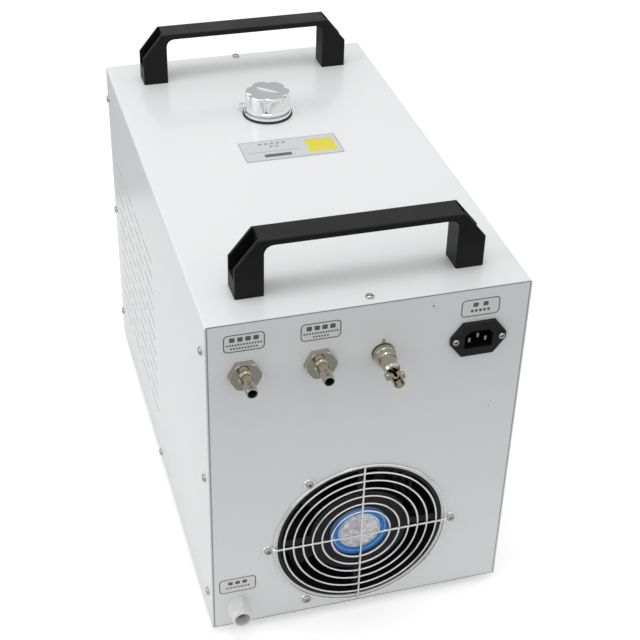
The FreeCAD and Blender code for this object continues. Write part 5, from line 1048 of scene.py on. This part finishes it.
def hole_shade_dots(made):
    """Painted shade of round holes: dark dots in rows on a finish that is already made."""
    tree = made.node_tree
    along_the_side = {"Vector": own_place(tree), "Scale": (0, 1, 1)}
    flat = add_node(tree, "ShaderNodeMapping", along_the_side).outputs["Vector"]
    rows = {"Vector": flat, "Scale": 1 / HOLE_PITCH, "Randomness": 0.0}
    cells = add_node(tree, "ShaderNodeTexVoronoi", rows).outputs["Distance"]
    # painted shade: the dark dot in each cell stands for the dark inside seen through a hole
    overlay(made, "Base Color", maths(tree, "LESS_THAN", cells, HOLE_SHARE), (0.02, 0.02, 0.02, 1))


screen_metal = finish("screen_metal", (0.60, 0.61, 0.62), 0.4, drift=0.05, patches=80.0)
hole_shade_dots(screen_metal)
for side, facing in ((1, "left"), (-1, "right")):
    mesh = bmesh.new()
    plate(mesh, rounded(SLOT_FIELD_LENGTH, SLOT_FIELD_HEIGHT, 1.5, 2), *SCREEN_LEVELS)
    place = stand(side * SIDE, SLOT_MIDDLE_Y, SLOT_MIDDLE_Z, facing)
    screen = build(f"vent_screen_{facing}", mesh, place, screen_metal)
    print(screen.name, [round(min(v.co[i] for v in screen.data.vertices), 4) for i in range(3)])

# %% [markdown]
# ## The floor
# The glossy side of the case mirrors what the chiller stands on: a white sheet on a grey bench, whose edge
# shows as a soft line across the side wall. To the lens the floor is plain pale paper without an end, which
# keeps the chiller's shadow. Light Path's Is Camera Ray picks between the two, and a little glow brings the
# paper up to white without more light on the chiller.

# %% Floor
PAPER_WHITE = (0.9, 0.9, 0.9, 1)
BENCH_GREY = (0.41, 0.435, 0.445, 1)
# middle and half length of the white sheet along each axis, and half the width of its soft edge
SHEET = {"X": (0.0, 0.62), "Y": (-0.031, 0.531)}
SHEET_EDGE = 0.02
PAPER_GLOW = 0.36
FLOOR_REACH = 6.0


def on_sheet(tree):
    """1 on the white sheet and 0 on the bench round it."""
    split = add_node(tree, "ShaderNodeSeparateXYZ", {"Vector": own_place(tree)}).outputs
    inside = []
    for axis, (middle, half) in SHEET.items():
        away = maths(tree, "ABSOLUTE", maths(tree, "SUBTRACT", split[axis], middle))
        inside.append(spread_over(tree, away, half + SHEET_EDGE, half - SHEET_EDGE))
    return maths(tree, "MULTIPLY", *inside)


def floor_finish():
    made, tree, shader = blank_finish("floor_paper")
    shader.inputs["Base Color"].default_value = PAPER_WHITE
    shader.inputs["Roughness"].default_value = 0.9
    glow = add_node(tree, "ShaderNodeEmission", {"Strength": PAPER_GLOW}).outputs[0]
    paper = add_node(tree, "ShaderNodeAddShader", {0: shader.outputs[0], 1: glow}).outputs[0]
    shade = mixed(tree, on_sheet(tree), BENCH_GREY, PAPER_WHITE)
    bench = add_node(tree, "ShaderNodeBsdfDiffuse", {"Color": shade}).outputs[0]
    seen = add_node(tree, "ShaderNodeLightPath").outputs["Is Camera Ray"]
    pick = add_node(tree, "ShaderNodeMixShader", {0: seen, 1: bench, 2: paper})
    tree.links.new(pick.outputs[0], tree.nodes["Material Output"].inputs["Surface"])
    return made


floor_mesh = bpy.data.meshes.new("floor")
floor_corners = [(sx * FLOOR_REACH, sy * FLOOR_REACH, 0) for sx, sy in ((-1, -1), (1, -1), (1, 1), (-1, 1))]
floor_mesh.from_pydata(floor_corners, [], [(0, 1, 2, 3)])
floor = bpy.data.objects.new("floor", floor_mesh)
bpy.context.collection.objects.link(floor)
floor_mesh.materials.append(floor_finish())
print("floor:", 2 * FLOOR_REACH, "m wide")

# %% [markdown]
# ## Light and background
# A product picture like this is lit by one big soft box overhead and pale walls all round. The world is
# white to the lens, to reflections and through clear plastic, but gives the surfaces a calmer level of light,
# so that the white coat keeps its shades.

# %% Studio
MIDDLE = (0, 0, 0.2)


def studio_world(seen, given):
    world = bpy.data.worlds.new("studio")
    bpy.context.scene.world = world
    world.use_nodes = True
    tree = world.node_tree
    path = add_node(tree, "ShaderNodeLightPath").outputs
    mirrored = maths(tree, "MAXIMUM", path["Is Camera Ray"], path["Is Glossy Ray"])
    shown = maths(tree, "MAXIMUM", mirrored, path["Is Transmission Ray"])
    level = spread_over(tree, shown, 0.0, 1.0, given, seen)
    background = tree.nodes["Background"]
    background.inputs["Color"].default_value = (1, 1, 1, 1)
    tree.links.new(level, background.inputs["Strength"])


def soft_box(name, place, aim, size, power):
    lamp = bpy.data.lights.new(name, "AREA")
    lamp.shape = "SQUARE"
    lamp.size = size
    lamp.energy = power
    box = bpy.data.objects.new(name, lamp)
    bpy.context.collection.objects.link(box)
    box.location = place
    box.rotation_euler = (Vector(place) - Vector(aim)).to_track_quat("Z", "Y").to_euler()


studio_world(seen=1.0, given=0.70)
soft_box("overhead", place=(0.15, 0.15, 1.9), aim=MIDDLE, size=0.65, power=7.0)
soft_box("left_wall", place=(1.9, 0.2, 1.0), aim=MIDDLE, size=1.2, power=8.0)
bpy.context.scene.view_settings.view_transform = "Standard"
